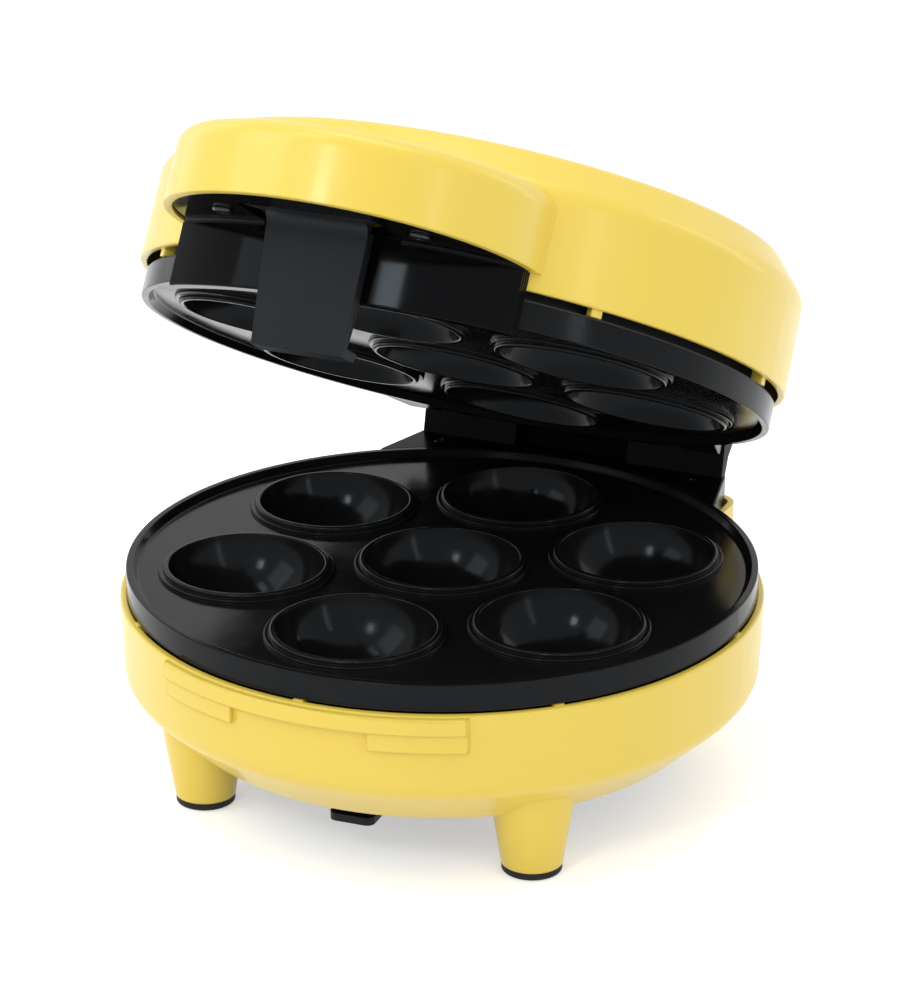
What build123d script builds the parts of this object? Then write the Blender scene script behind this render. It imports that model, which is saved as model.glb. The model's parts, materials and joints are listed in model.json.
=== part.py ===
"""Seven-cup cake-ball maker: two hinged round halves with cast baking plates.

Millimetres, +Z up.  The origin is on the table under the centre of the lower
plate, the latch and the visor face -Y and the hinge is at +Y.  The lid is
modelled standing OPEN_ANGLE open.  Lid pieces are first built as if the lid
were shut, at heights measured up from the lid plate's rim, and then swung
about the hinge axis.
"""
from build123d import *
import os
from math import cos, radians, sin, sqrt

os.makedirs("parts", exist_ok=True)

# ---------------------------------------------------------------- overall --
PLATE_R = 117.5         # baking plates: this radius drives every other round one
PLATE_TOP = 84.5        # rim of the lower baking plate above the table
CLOSED_GAP = 3.0        # between the two plate rims when the lid is shut
OPEN_ANGLE = 30.0       # how far the lid stands open as modelled
WALL = 2.5              # moulded housing wall
FIT = 0.3               # clearance between neighbouring mouldings
RUN = 0.05              # radial clearance of a pin or screw in its bore
FAR = 1000.0            # reach of cutting bodies, beyond everything
LID_PLANE = PLATE_TOP + CLOSED_GAP

# ----------------------------------------------------------- baking plates --
RIM_W = 2.6             # width of the raised rim
RIM_SLOPE = 1.6
FLOOR_DROP = 3.0        # plate floor below the rim
CAST_T = 2.2            # casting thickness
SKIRT_H = 9.4
EASE = 0.5              # small chamfer or rounding on an edge
RING_CUPS = 6
CUP_GAP = 7.2           # between the collars of two cups
RIM_MARGIN = 11.9       # between a ring cup's collar and the plate's edge
COLLAR_R = (PLATE_R - RIM_MARGIN - CUP_GAP) / 3    # lower step of the collar around a cup
CUP_RING_R = 2 * COLLAR_R + CUP_GAP
BEAD_R = COLLAR_R - 1.8                            # rounded bead on the collar
MOUTH_R = COLLAR_R - 3.8
CUP_DEPTH = MOUTH_R - 4.0
COLLAR_STEP = 1.3
POST_R = 4.2            # posts under the plate that take its screws
POST_RING_R = PLATE_R - 29.5
POSTS = 3

# ------------------------------------------------------------------ screws --
SCREW_R = 2.0
SCREW_HEAD_R = 3.8
SCREW_HEAD_H = 2.2
SLOT_W = 0.8            # arms of the cross recess in a screw head
SLOT_D = 0.8
BITE = 6.0              # how far a screw goes into the piece that holds it
BORE_SPARE = 2.0        # room in the bore beyond the screw's tip
SCREW_BORE_R = SCREW_R + RUN

# ------------------------------------------------- reflector pan and heater --
SHEET_T = 0.8
PAN_FLANGE_R = PLATE_R - 0.6
PAN_MOUTH_R = PLATE_R - 6.5
PAN_FLOOR_R = PAN_MOUTH_R - 2.5
PAN_DEPTH = CUP_DEPTH + 7.0             # inside floor of the pan below the plate rim
TUBE_R = 3.25
HEATER_R = CUP_RING_R / 2 + 0.6         # between the middle cup and the ring of cups
HEATER_GAP = 20.0                       # degrees left open between the two tube ends
TAIL_DROP = PAN_DEPTH + 13.0            # tube ends below the plate rim
PIN_R = 1.2
PIN_L = 5.0
BUSHING_R = 5.5
BUSHING_H = 9.0
THERMOSTAT_R = 9.0
THERMOSTAT_H = 8.0
THERMOSTAT_X = -HEATER_R - THERMOSTAT_R
BLADE_W = 6.0           # blade terminals of the thermostat
BLADE_T = 0.8
BLADE_L = 7.0
FUSE_R = 3.0
FUSE_L = 22.0
FUSE_Y = HEATER_R + 11.0
SADDLE_W = 8.0          # sheet saddle of the thermal fuse

# ----------------------------------------------------------- lower housing --
HOUSING_R = PLATE_R + 2.5               # at the rim
WALL_FOOT_R = HOUSING_R - 1.0           # where the wall turns into the sloping underside
WALL_FOOT_Z = PLATE_TOP - 41.5
WALL_FOOT_FILLET = 9.0
FLOOR_R = HOUSING_R - 20.0
FLOOR_Z = PLATE_TOP - 59.0
RIM_DROP = 10.6                         # lower housing rim below the plate rim
RIM_EASE = 0.8                          # rounding of the mouldings' outer rims
TABS = 8
TAB_W = 4.0
TAB_IN_R = PLATE_R - 3.7
TAB_OUT_R = PLATE_R + 0.5
TAB_ROOT_R = HOUSING_R - 0.6
TAB_FOOT = 3.0
LEG_INSET = 6.24                        # leg axes inside the floor's edge
LEG_AT = (FLOOR_R - LEG_INSET) / sqrt(2)   # legs stand at (+-LEG_AT, +-LEG_AT)
LEG_TOE_R = 11.2
LEG_TOP_R = 15.5
LEG_TOP_Z = FLOOR_Z + 4.5
LEG_WALL = 2.2
PAD_H = 3.0
PAD_R = 11.0
PAD_STEM_R = 3.0
COVER_R = FLOOR_R - 6.0
COVER_T = 2.2
SCALLOP_R = LEG_TOP_R + 3.5             # room the bottom cover leaves around each leg
LEDGE_W = 7.0
COVER_SCREW_RING_R = COVER_R - 3.5
COVER_PILLAR_H = 9.0
PILLAR_R = 4.2
PILLAR_RING_R = PAN_FLOOR_R - 6.5
VENTS = 12
VENT_L = 26.0
VENT_W = 4.0
VENT_RING_R = COVER_R - 52.0
CLEAT_W = 17.0
CLEAT_AT = COVER_R - 10.0
CLEAT_DROP = 9.0
CLEAT_T = 3.0
CLEAT_REACH = 8.0
CLEAT_TURN = 4.0                        # degrees the cleats are off the middle plane
TERMINAL_Y = (COVER_R + 22.0) / 2       # middle of the terminal block
TERMINAL_L = 34.0
TERMINAL_W = 16.0
TERMINAL_H = 9.0
CLAMPS = 3
CLAMP_PITCH = 11.0
CLAMP_L = 12.0
CLAMP_W = 8.0
CLAMP_H = 4.0
CLAMP_BORE_R = 2.2

# ------------------------------------------------ front apron of the base --
APRON_HALF_W = 59.0
LIP_R = HOUSING_R + 2.5
LIP_TOP_DROP = 11.1     # top of the lip below the plate rim
LIP_H = 6.0
BLOCK_R = HOUSING_R + 1.4
BLOCK_H = 7.0
NOTCH_HALF_W = 26.4     # room between the blocks for the latch

# -------------------------------------------------------------- lid shell --
LID_WALL_R = HOUSING_R + 0.7
LID_WALL_LOW = 12.8     # lower edge of the wall above the lid plate rim
SHOULDER_R = HOUSING_R + 0.3
SHOULDER_H = 48.0
SHOULDER_EDGE = 9.0
BEVEL_R = SHOULDER_R - 11.5
BEVEL_EDGE = 6.0
BEVEL_H = SHOULDER_H + 14.0
CROWN_H = BEVEL_H + 3.5
VISOR_R = 67.3
VISOR_Y = 18.0 - LID_WALL_R
VISOR_LOW = LID_WALL_LOW + 6.0
VISOR_FRONT_H = SHOULDER_H - 3.0        # top of the visor at its front
VISOR_BACK_H = SHOULDER_H - 0.6         # top of the visor where it meets the wall
VISOR_WALL = 3.0
VISOR_ROOT_R = HOUSING_R - 2.0          # circle that the visor's roots blend into
VISOR_BLEND = 12.0
VISOR_EDGE = 7.0
LAMP_R = 4.5
LAMP_X = 14.0
LAMP_Y = -HOUSING_R / 2
LENS_LIP = 1.5
LENS_DOME = 2.0
NEON_R = 3.0
NEON_L = 16.0

# ------------------------------------------------------------------ hinge --
HINGE_Y = HOUSING_R + 12.3
HINGE_Z = PLATE_TOP + 17.5
AXIS_H = HINGE_Z - LID_PLANE            # hinge axis above the lid plate's rim
REAR_HALF_W = 70.0
REAR_Y = HINGE_Y - 1.8
REAR_CORNER = 9.0
REAR_FOOT_Z = PLATE_TOP - 34.5
REAR_EDGE = 8.0
LID_REAR_H = SHOULDER_H - 6.0
BLOCK_ARC_R = PLATE_R + 0.9             # front of both hinge blocks, round the plates
BLOCK_TOP_DROP = 0.5
BLOCK_WING_W = REAR_HALF_W + 2.0        # half width of a hinge block's wings
BLOCK_WING_FRONT = PLATE_R / 2
BLOCK_TAPER_Y = HINGE_Y - 35.3          # from here the wings narrow towards the back
BLOCK_TAPER = 0.24
KNUCKLE_R = 7.0
KNUCKLE_HALF_W = 23.4                   # lid's knuckle, in the middle
KNUCKLE_SIDE = 1.0                      # room between the knuckle and the towers
ARM_CHIN = 236.0                        # degrees round the knuckle where the arm's underside meets it
TOWER_OUT = REAR_HALF_W - 5.0           # outer side of the two towers of the lower block
TOWER_FRONT_Y = HINGE_Y - 11.3
TOWER_WAIST_Y = HINGE_Y - 9.2
TOWER_WAIST = 7.0                       # height of the towers' waist above the block
TOWER_NECK = 4.5                        # tower from front to back at its foot
RIB_T = 3.0                             # ribs that close the hollow towers
WEB_Y = HINGE_Y - 5.3                   # web between the towers, under the knuckle
WEB_H = 7.5
SWING_CLEAR = 1.1                       # room for the turning knuckle
ARM_ROOT_Y = HINGE_Y - 13.8             # back of the lid block's wings
HINGE_PIN_R = 2.5
PIN_HEAD_R = 4.0
PIN_HEAD_T = 1.5
HINGE_SCREW_X = TOWER_OUT - 10.6
HINGE_SCREW_Y = HINGE_Y - 15.7
LID_SCREW_X = HINGE_SCREW_X - 5.4
RECESS_R = 4.4
RECESS_D = 2.8
BOSS_R = 4.6
HINGE_PILLAR_DROP = 18.5                # top of the hinge screws' pillars below the plate rim
HINGE_PILLAR_TOP = PLATE_TOP - HINGE_PILLAR_DROP
GLAND_RISE = 10.0
GLAND_Z = REAR_FOOT_Z + GLAND_RISE
GLAND_R = 5.5
GLAND_WALL = 2.0
GLAND_LIP_T = 1.5

# ------------------------------------------------- visor insert and latch --
INSERT_IN_R = HOUSING_R + 1.1
INSERT_T = 4.9
INSERT_OUT_R = INSERT_IN_R + INSERT_T
INSERT_LOW = -4.0
INSERT_HALF_ANGLE = 30.8
INSERT_FILLET = 1.6     # where the wall meets the ledge
INSERT_EDGE = 0.7
FLUTES = 3              # grooves in the wall's end faces
FLUTE_R = 0.5
LEDGE_LOW = VISOR_LOW + 0.8
LEDGE_T = 2.5
INSERT_SCREW_X = 36.5
INSERT_SCREW_OUT = 8.0                  # in front of the insert's wall, as the latch's places are
INSERT_SCREW_Y = -INSERT_OUT_R - INSERT_SCREW_OUT
LATCH_PIN_OUT = 4.0
LATCH_PIN_Y = -INSERT_OUT_R - LATCH_PIN_OUT
LATCH_PIN_DROP = 4.6
LATCH_PIN_H = LEDGE_LOW - LATCH_PIN_DROP
LATCH_PIN_R = 1.5
LUG_R = 2.9
LUG_IN = 9.8
LUG_OUT = 12.4
BARREL_R = LATCH_PIN_R + 1.8
BARREL_WEB_T = 2.0
FLAP_TOP_HALF_W = 18.8
FLAP_LOW_HALF_W = 16.9
FLAP_TOP_OUT = 10.0
FLAP_TOP_Y = -INSERT_OUT_R - FLAP_TOP_OUT
FLAP_LOW_OUT = 5.4
FLAP_LOW_Y = -INSERT_OUT_R - FLAP_LOW_OUT
FLAP_DROP = 19.8
FLAP_LOW = INSERT_LOW - FLAP_DROP
FLAP_T = 2.2
FLAP_FILLET = 5.0       # where the flap's front runs out into the flange
FLAP_RIB_T = 2.0
FLAP_RIB_BACK_Y = -INSERT_OUT_R - 0.6
CLAW_H = 3.4
CLAW_TOP = FLAP_LOW + CLAW_H
CLAW_TIP_R = HOUSING_R + 0.9
CLAW_TIP_T = 1.4
FLANGE_HALF_W = FLAP_TOP_HALF_W + 5.7
FLANGE_OUT = 20.0
FLANGE_FRONT_Y = -INSERT_OUT_R - FLANGE_OUT
FLANGE_LOW = LEDGE_LOW + 0.8
FLANGE_T = 2.0
FLANGE_CORNER = 2.0
SPRING_HALF_W = 5.5
WIRE_R = 0.5
SPRING_TURNS = 5
SPRING_SLACK = 0.55     # room for the spring's leg as the latch turns

# ------------------------------------------------------------ derived sizes --
UNDER = -FLOOR_DROP - CAST_T                     # underside of the plate floor
BOWL_R = (MOUTH_R ** 2 + CUP_DEPTH ** 2) / (2 * CUP_DEPTH)
BOWL_Z = BOWL_R - CUP_DEPTH                      # centre of the cup's sphere
PAN_TOP = -SKIRT_H
PAN_UNDER = -PAN_DEPTH - SHEET_T
RIM_Z = PLATE_TOP - RIM_DROP
BLOCK_TOP = PLATE_TOP - BLOCK_TOP_DROP
TOWER_IN = KNUCKLE_HALF_W + KNUCKLE_SIDE


# ------------------------------------------------------------------ helpers --
def face_of(*points):
    """Flat face inside a closed outline of points."""
    return make_face(Polyline(*points, close=True))


def eased(outline, *roundings):
    """Flat outline with a rounding at each (point, radius)."""
    for point, radius in roundings:
        corner = outline.vertices().sort_by_distance((point[0], point[1], 0))[0]
        outline = fillet(corner, radius)
    return outline


def turned(outline):
    """Solid turned about Z from a flat outline of (radius, height)."""
    return revolve(Plane.XZ * outline, Axis.Z)


def lathe(*points):
    """Solid turned about Z from a closed outline of (radius, height) points."""
    return turned(face_of(*points))


def hollow_corner(x, y, radius):
    """Flat section that fills the corner left of and below a point with a hollow rounding."""
    square = Pos(x - radius / 2, y - radius / 2) * Rectangle(radius, radius)
    return square - Pos(x - radius, y - radius) * Circle(radius)


def rod(radius, low, high, x=0.0, y=0.0):
    """Upright cylinder between two heights."""
    return Pos(x, y, (low + high) / 2) * Cylinder(radius, high - low)


def rod_x(radius, left, right, y, z):
    """Cylinder along X between two places."""
    return Pos((left + right) / 2, y, z) * Rot(0, 90, 0) * Cylinder(radius, right - left)


def block(x0, x1, y0, y1, z0, z1):
    """Box between two corners."""
    return Pos((x0 + x1) / 2, (y0 + y1) / 2, (z0 + z1) / 2) * Box(x1 - x0, y1 - y0, z1 - z0)


def side_slab(outline, left, right):
    """Solid with a side outline of (y, z) points, between two places on X."""
    return Pos(left, 0, 0) * extrude(Plane.YZ * outline, right - left)


def pair(shape):
    """The shape and its mirror image across the middle plane."""
    return [shape, mirror(shape, Plane.YZ)]


def polar(radius, degree):
    """Point at a radius and an angle from +X."""
    return radius * cos(radians(degree)), radius * sin(radians(degree))


def spread(radius, count, first=0.0):
    """Points evenly spaced round a circle."""
    return [polar(radius, first + 360.0 * k / count) for k in range(count)]


def inset_outline(points, inset):
    """Open outline moved towards its left side; its two ends slide along their own run."""
    runs = []
    for (r0, z0), (r1, z1) in zip(points, points[1:]):
        length = sqrt((r1 - r0) ** 2 + (z1 - z0) ** 2)
        dr, dz = (r1 - r0) / length, (z1 - z0) / length
        runs.append((r0 - dz * inset, z0 + dr * inset, dr, dz))
    moved = [run_end(runs[0], points[0])]
    for (r0, z0, dr0, dz0), (r1, z1, dr1, dz1) in zip(runs, runs[1:]):
        along = ((r1 - r0) * dz1 - (z1 - z0) * dr1) / (dr0 * dz1 - dz0 * dr1)
        moved.append((r0 + along * dr0, z0 + along * dz0))
    moved.append(run_end(runs[-1], points[-1]))
    return moved


def run_end(run, tip):
    """End of a moved run: at the tip's radius on a flat run, at its height on a steep one."""
    r, z, dr, dz = run
    along = (tip[0] - r) / dr if abs(dr) > abs(dz) else (tip[1] - z) / dz
    return r + along * dr, z + along * dz


def swung(shape):
    """Lid piece turned from shut to the modelled opening."""
    return Pos(0, HINGE_Y, HINGE_Z) * Rot(-OPEN_ANGLE, 0, 0) * Pos(0, -HINGE_Y, -HINGE_Z) * shape


def lower(shape):
    """Piece built below a plate rim at height 0, placed in the base."""
    return Pos(0, 0, PLATE_TOP) * shape


def upper(shape):
    """Piece built below a plate rim at height 0, turned over into the lid."""
    return swung(Pos(0, 0, LID_PLANE) * Rot(0, 180, 0) * shape)


def lid(shape):
    """Piece built at heights above the lid plate's rim, placed in the lid."""
    return swung(Pos(0, 0, LID_PLANE) * shape)


def screw(length, x=0.0, y=0.0, seat=0.0, up=False):
    """Pan-head screw whose head rests at height seat; up turns the head down."""
    body = rod(SCREW_R, -length, 0) + rod(SCREW_HEAD_R, 0, SCREW_HEAD_H)
    arm = SCREW_HEAD_R + SLOT_W / 2
    body -= Pos(0, 0, SCREW_HEAD_H) * Box(arm, SLOT_W, 2 * SLOT_D)
    body -= Pos(0, 0, SCREW_HEAD_H) * Box(SLOT_W, arm, 2 * SLOT_D)
    return Pos(x, y, seat) * (Rot(180, 0, 0) * body if up else body)


# ------------------------------------------------------------ baking plates --
def cup_centres():
    """Centres of the middle cup and of the ring of cups round it."""
    return [(0.0, 0.0)] + spread(CUP_RING_R, RING_CUPS, 180.0 / RING_CUPS)


def post_centres():
    """Posts under the plate, each between two ring cups."""
    return spread(POST_RING_R, POSTS, 360.0 / RING_CUPS)


def baking_plate():
    """Cast plate with its rim at height 0 and its cups below."""
    rim_in = PLATE_R - RIM_W
    skirt_in = PLATE_R - CAST_T
    section = face_of((0, -FLOOR_DROP), (rim_in - RIM_SLOPE, -FLOOR_DROP), (rim_in, 0), (PLATE_R, 0),
                      (PLATE_R, -SKIRT_H), (skirt_in, -SKIRT_H), (skirt_in, UNDER), (0, UNDER))
    plate = turned(eased(section, ((rim_in, 0), EASE), ((PLATE_R, 0), EASE),
                         ((rim_in - RIM_SLOPE, -FLOOR_DROP), 2 * EASE)))
    step = COLLAR_STEP - FLOOR_DROP
    section = face_of((0, UNDER), (COLLAR_R, UNDER), (COLLAR_R, step), (BEAD_R, step), (BEAD_R, 0), (0, 0))
    collar = turned(eased(section, ((COLLAR_R, step), EASE), ((BEAD_R, 0), 2 * EASE)))
    bowl = Pos(0, 0, BOWL_Z) * Sphere(BOWL_R + CAST_T)
    bowl &= rod(BOWL_R + 2 * CAST_T, -CUP_DEPTH - 2 * CAST_T, UNDER)
    hollow = Pos(0, 0, BOWL_Z) * Sphere(BOWL_R)
    hollow &= rod(BOWL_R + CAST_T, -CUP_DEPTH - CAST_T, BOWL_Z)
    for x, y in cup_centres():
        plate += Pos(x, y, 0) * (collar + bowl)
    saddle_in, saddle_out = HEATER_R - TUBE_R - RUN, HEATER_R + TUBE_R + RUN
    for inner, outer in ((saddle_in - CAST_T, saddle_in), (saddle_out, saddle_out + CAST_T)):
        plate += lathe((inner, UNDER), (outer, UNDER), (outer, UNDER - TUBE_R), (inner, UNDER - TUBE_R))
    for x, y in post_centres():
        plate += rod(POST_R, -PAN_DEPTH, UNDER, x, y)
        plate -= rod(SCREW_BORE_R, -PAN_DEPTH, UNDER - CAST_T, x, y)
    for x, y in cup_centres():
        plate -= Pos(x, y, 0) * hollow
    rings = plate.edges().filter_by(GeomType.CIRCLE)
    return fillet([ring for ring in rings if abs(ring.radius - MOUTH_R) < RUN], EASE)


def plate_screws():
    """Screws from behind the pan into the plate's posts."""
    return [screw(2 * BITE, x, y, PAN_UNDER, up=True) for x, y in post_centres()]


# -------------------------------------------------- reflector pan and heater --
def tail_centres():
    """Places where the two tube ends turn down through the pan."""
    return [polar(HEATER_R, sign * HEATER_GAP / 2) for sign in (-1, 1)]


def pan_screw_centres():
    """Screws that hold the pan to the housing pillars."""
    return spread(PILLAR_RING_R, 4)


def reflector_pan():
    """Pressed sheet pan that the plate's skirt stands on."""
    pan = lathe(
        (0, -PAN_DEPTH), (PAN_FLOOR_R - SHEET_T, -PAN_DEPTH), (PAN_MOUTH_R - SHEET_T, PAN_TOP),
        (PAN_FLANGE_R, PAN_TOP), (PAN_FLANGE_R, PAN_TOP - SHEET_T), (PAN_MOUTH_R, PAN_TOP - SHEET_T),
        (PAN_FLOOR_R, PAN_UNDER), (0, PAN_UNDER))
    for x, y in post_centres() + pan_screw_centres():
        pan -= rod(SCREW_BORE_R, PAN_UNDER, -PAN_DEPTH, x, y)
    for x, y in tail_centres():
        pan -= rod(BUSHING_R - SHEET_T + RUN, PAN_UNDER, -PAN_DEPTH, x, y)
    return pan


def pan_screws():
    """Screws through the pan's floor into the housing pillars."""
    return [screw(SHEET_T + BITE, x, y, -PAN_DEPTH) for x, y in pan_screw_centres()]


def heater():
    """Tubular element under the plate floor with two tails through the pan."""
    level = UNDER - TUBE_R
    ring = revolve(Plane.XZ * Pos(HEATER_R, level) * Circle(TUBE_R), Axis.Z, 360 - HEATER_GAP)
    element = Rot(0, 0, HEATER_GAP / 2) * ring
    for x, y in tail_centres():
        element += Pos(x, y, level) * Sphere(TUBE_R + RUN / 2)
        element += rod(TUBE_R, -TAIL_DROP, level, x, y)
        element += rod(PIN_R, -TAIL_DROP - PIN_L, -TAIL_DROP, x, y)
    return element


def heater_bushings():
    """Ceramic bushings round the tube tails in the pan's floor."""
    neck = BUSHING_R - SHEET_T
    bushings = []
    for x, y in tail_centres():
        bushing = rod(neck, PAN_UNDER - BUSHING_H, -PAN_DEPTH + SHEET_T, x, y)
        bushing += rod(BUSHING_R, PAN_UNDER - 2 * SHEET_T, PAN_UNDER, x, y)
        bushings.append(bushing - rod(TUBE_R + RUN, -TAIL_DROP, 0, x, y))
    return bushings


def thermostat():
    """Round bimetal switch with two blade terminals, behind the pan."""
    low = PAN_UNDER - THERMOSTAT_H
    body = rod(THERMOSTAT_R, low, PAN_UNDER, THERMOSTAT_X)
    for edge in (-THERMOSTAT_R / 2, THERMOSTAT_R / 2):
        body += Pos(THERMOSTAT_X, edge, low - BLADE_L / 2) * Box(BLADE_W, BLADE_T, BLADE_L)
    return body


def thermal_fuse():
    """Cylindrical fuse in its sheet saddle, behind the pan."""
    seat = PAN_UNDER - SHEET_T
    centre = seat - FUSE_R
    half = SADDLE_W / 2
    fuse = rod_x(FUSE_R, -FUSE_L / 2, FUSE_L / 2, FUSE_Y, centre)
    fuse += block(-half, half, FUSE_Y - 2 * FUSE_R, FUSE_Y + 2 * FUSE_R, seat, PAN_UNDER)
    return fuse + block(-half, half, FUSE_Y - FUSE_R, FUSE_Y + FUSE_R, centre, seat)


# ------------------------------------------------------------ lower housing --
def drum(inset=0.0, over=0.0):
    """Turned body of the base, or its cavity when inset and run over the rim."""
    rise = RIM_Z - WALL_FOOT_Z
    flare = (HOUSING_R - WALL_FOOT_R) / rise
    outline = [(0, FLOOR_Z), (FLOOR_R, FLOOR_Z), (WALL_FOOT_R, WALL_FOOT_Z),
               (HOUSING_R + flare * over, RIM_Z + over)]
    moved = inset_outline(outline, inset)
    section = face_of(*moved, (0, moved[-1][1]))
    if inset == 0:
        section = eased(section, (moved[-1], RIM_EASE))
    body = turned(section)
    if inset == 0:
        turn = [edge for edge in body.edges().filter_by(GeomType.CIRCLE)
                if abs(edge.center().Z - WALL_FOOT_Z) < 0.01]
        body = fillet(turn, WALL_FOOT_FILLET)
    return body


def rear_slab(low, high, inset=0.0):
    """Block behind a round half that holds a hinge block, square to the axis."""
    half = REAR_HALF_W - inset
    plan = Pos(0, REAR_Y / 2) * Rectangle(2 * half, REAR_Y - 2 * inset)
    corners = plan.vertices().sort_by(Axis.Y)[-2:]
    plan = fillet(corners, REAR_CORNER - inset)
    return Pos(0, 0, low) * extrude(plan, high - low)


def outside(shape, radius):
    """What of a shape lies outside the upright cylinder of that radius."""
    return shape - rod(radius, -FAR, FAR)


def leg_centres():
    """Four legs on a square."""
    return [(sx * LEG_AT, sy * LEG_AT) for sy in (-1, 1) for sx in (-1, 1)]


def leg_cone(inset, low, high):
    """Tapered leg, or its hollow, between two heights."""
    spread_per_mm = (LEG_TOP_R - LEG_TOE_R) / (LEG_TOP_Z - PAD_H)
    low_r = LEG_TOE_R + spread_per_mm * (low - PAD_H) - inset
    high_r = LEG_TOE_R + spread_per_mm * (high - PAD_H) - inset
    return Pos(0, 0, (low + high) / 2) * Cone(low_r, high_r, high - low)


def bottom_plan(grow=0.0, narrow=0.0):
    """Outline of the bottom cover: a circle scalloped round the legs."""
    plan = Circle(COVER_R + grow - narrow)
    for x, y in leg_centres():
        plan -= Pos(x, y) * Circle(SCALLOP_R - grow + narrow)
    return plan


def cover_screw_centres():
    """Screws of the bottom cover, between the legs."""
    return spread(COVER_SCREW_RING_R, 4)


def arc_band(out_r, in_r, half_width, low, high):
    """Curved pad on the front of a drum, as wide as half_width each side."""
    band = rod(out_r, low, high) - rod(in_r, low, high)
    return band & block(-half_width, half_width, -out_r - 1, 0, low, high)


def front_apron():
    """Lip that the latch hooks under, with a block each side of its notch."""
    lip_top = PLATE_TOP - LIP_TOP_DROP
    lip_low = lip_top - LIP_H
    core = HOUSING_R - WALL
    lip = arc_band(LIP_R, core, APRON_HALF_W, lip_low, lip_top)
    lip = fillet(lip.edges().group_by(Axis.Z)[-1].filter_by(GeomType.CIRCLE).sort_by(Axis.Y)[:1], 2 * EASE)
    pads = arc_band(BLOCK_R, core, APRON_HALF_W, lip_low - BLOCK_H, lip_low)
    return lip + (pads - block(-NOTCH_HALF_W, NOTCH_HALF_W, -FAR, 0, -FAR, FAR))


def lower_housing():
    """Moulded base: drum, rear block, four hollow legs, apron and inner pillars."""
    rear = rear_slab(REAR_FOOT_Z, RIM_Z)
    rear = fillet(rear.edges().group_by(Axis.Z)[0].sort_by(Axis.Y)[-3:], REAR_EDGE)
    shell = drum() + outside(rear, WALL_FOOT_R - WALL)
    for x, y in leg_centres():
        shell += Pos(x, y, 0) * leg_cone(0, PAD_H, LEG_TOP_Z + WALL)
    shell -= drum(WALL, 2 * WALL)
    shell -= outside(rear_slab(REAR_FOOT_Z + WALL, RIM_Z + WALL, WALL), HOUSING_R)
    floor_top = FLOOR_Z + WALL
    ledge_low = FLOOR_Z + COVER_T
    ledge = extrude(Pos(0, 0, ledge_low) * Circle(FLOOR_R - WALL), WALL)
    shell += ledge
    shell -= extrude(bottom_plan(FIT), ledge_low)
    shell -= extrude(Pos(0, 0, ledge_low - WALL) * bottom_plan(0, LEDGE_W), 3 * WALL)
    shell += front_apron()
    pan_under, bite = PLATE_TOP + PAN_UNDER, BITE + BORE_SPARE
    for x, y in pan_screw_centres():
        shell += rod(PILLAR_R, floor_top + EASE, pan_under, x, y)
        shell -= rod(SCREW_BORE_R, pan_under - bite, pan_under, x, y)
    for x, y in cover_screw_centres():
        shell += rod(PILLAR_R, ledge_low, ledge_low + COVER_PILLAR_H, x, y)
        shell -= rod(SCREW_BORE_R, ledge_low, ledge_low + bite, x, y)
    for x in (-HINGE_SCREW_X, HINGE_SCREW_X):
        boss = rod(BOSS_R, REAR_FOOT_Z + WALL / 2, HINGE_PILLAR_TOP, x, HINGE_SCREW_Y)
        shell += outside(boss, WALL_FOOT_R)
        shell -= rod(SCREW_BORE_R, HINGE_PILLAR_TOP - bite, HINGE_PILLAR_TOP, x, HINGE_SCREW_Y)
    for x, y in leg_centres():
        shell -= Pos(x, y, 0) * leg_cone(LEG_WALL, PAD_H + LEG_WALL, LEG_TOP_Z + 2 * WALL)
        shell -= rod(PAD_STEM_R + RUN, PAD_H - EASE, PAD_H + LEG_WALL + EASE, x, y)
    shell -= Pos(0, REAR_Y, GLAND_Z) * Rot(90, 0, 0) * Cylinder(GLAND_R + RUN, 4 * WALL)
    return shell + housing_tabs(RIM_Z, PLATE_TOP + PAN_TOP - SHEET_T, -1)


def housing_tabs(rim, flange, inward):
    """Spacer tabs on a housing rim that carry the pan's flange."""
    root = rim + inward * TAB_FOOT
    tab = block(TAB_IN_R, TAB_OUT_R, -TAB_W / 2, TAB_W / 2, min(flange, root), max(flange, root))
    tab += block(TAB_IN_R, TAB_ROOT_R, -TAB_W / 2, TAB_W / 2, min(rim, root), max(rim, root))
    return [Rot(0, 0, 360.0 * k / TABS) * tab for k in range(TABS)]


def foot_pad():
    """Rubber pad with a stem that plugs into the leg's toe."""
    pad = Pos(0, 0, PAD_H / 2) * Cylinder(PAD_R, PAD_H)
    pad = chamfer(pad.edges().group_by(Axis.Z)[0], EASE)
    return pad + rod(PAD_STEM_R, PAD_H, PAD_H + 2 * LEG_WALL)


def cord_cleat():
    """Hook under the bottom cover that the cord winds round."""
    stem = block(-CLEAT_W / 2, CLEAT_W / 2, -CLEAT_T / 2, CLEAT_T / 2, FLOOR_Z - CLEAT_DROP, FLOOR_Z)
    toe_low = FLOOR_Z - CLEAT_DROP
    toe = block(-CLEAT_W / 2, CLEAT_W / 2, -CLEAT_REACH, CLEAT_T / 2, toe_low, toe_low + CLEAT_T)
    toe = fillet(toe.edges().filter_by(Axis.Z).sort_by(Axis.Y)[:2], CLEAT_T)
    return Pos(0, -CLEAT_AT, 0) * (stem + toe)


def bottom_cover():
    """Flat bottom cover with two cord cleats and a ring of vents."""
    cover = extrude(Pos(0, 0, FLOOR_Z) * bottom_plan(), COVER_T)
    for x, y in cover_screw_centres():
        cover -= rod(SCREW_BORE_R, FLOOR_Z, FLOOR_Z + COVER_T, x, y)
    vent = Pos(0, 0, FLOOR_Z) * extrude(Pos(VENT_RING_R, 0) * SlotOverall(VENT_L, VENT_W), COVER_T)
    for k in range(VENTS):
        cover -= Rot(0, 0, 360.0 * (k + 0.5) / VENTS) * vent
    for turn in (CLEAT_TURN, 180 + CLEAT_TURN):
        cover += Rot(0, 0, turn) * cord_cleat()
    return cover


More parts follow.
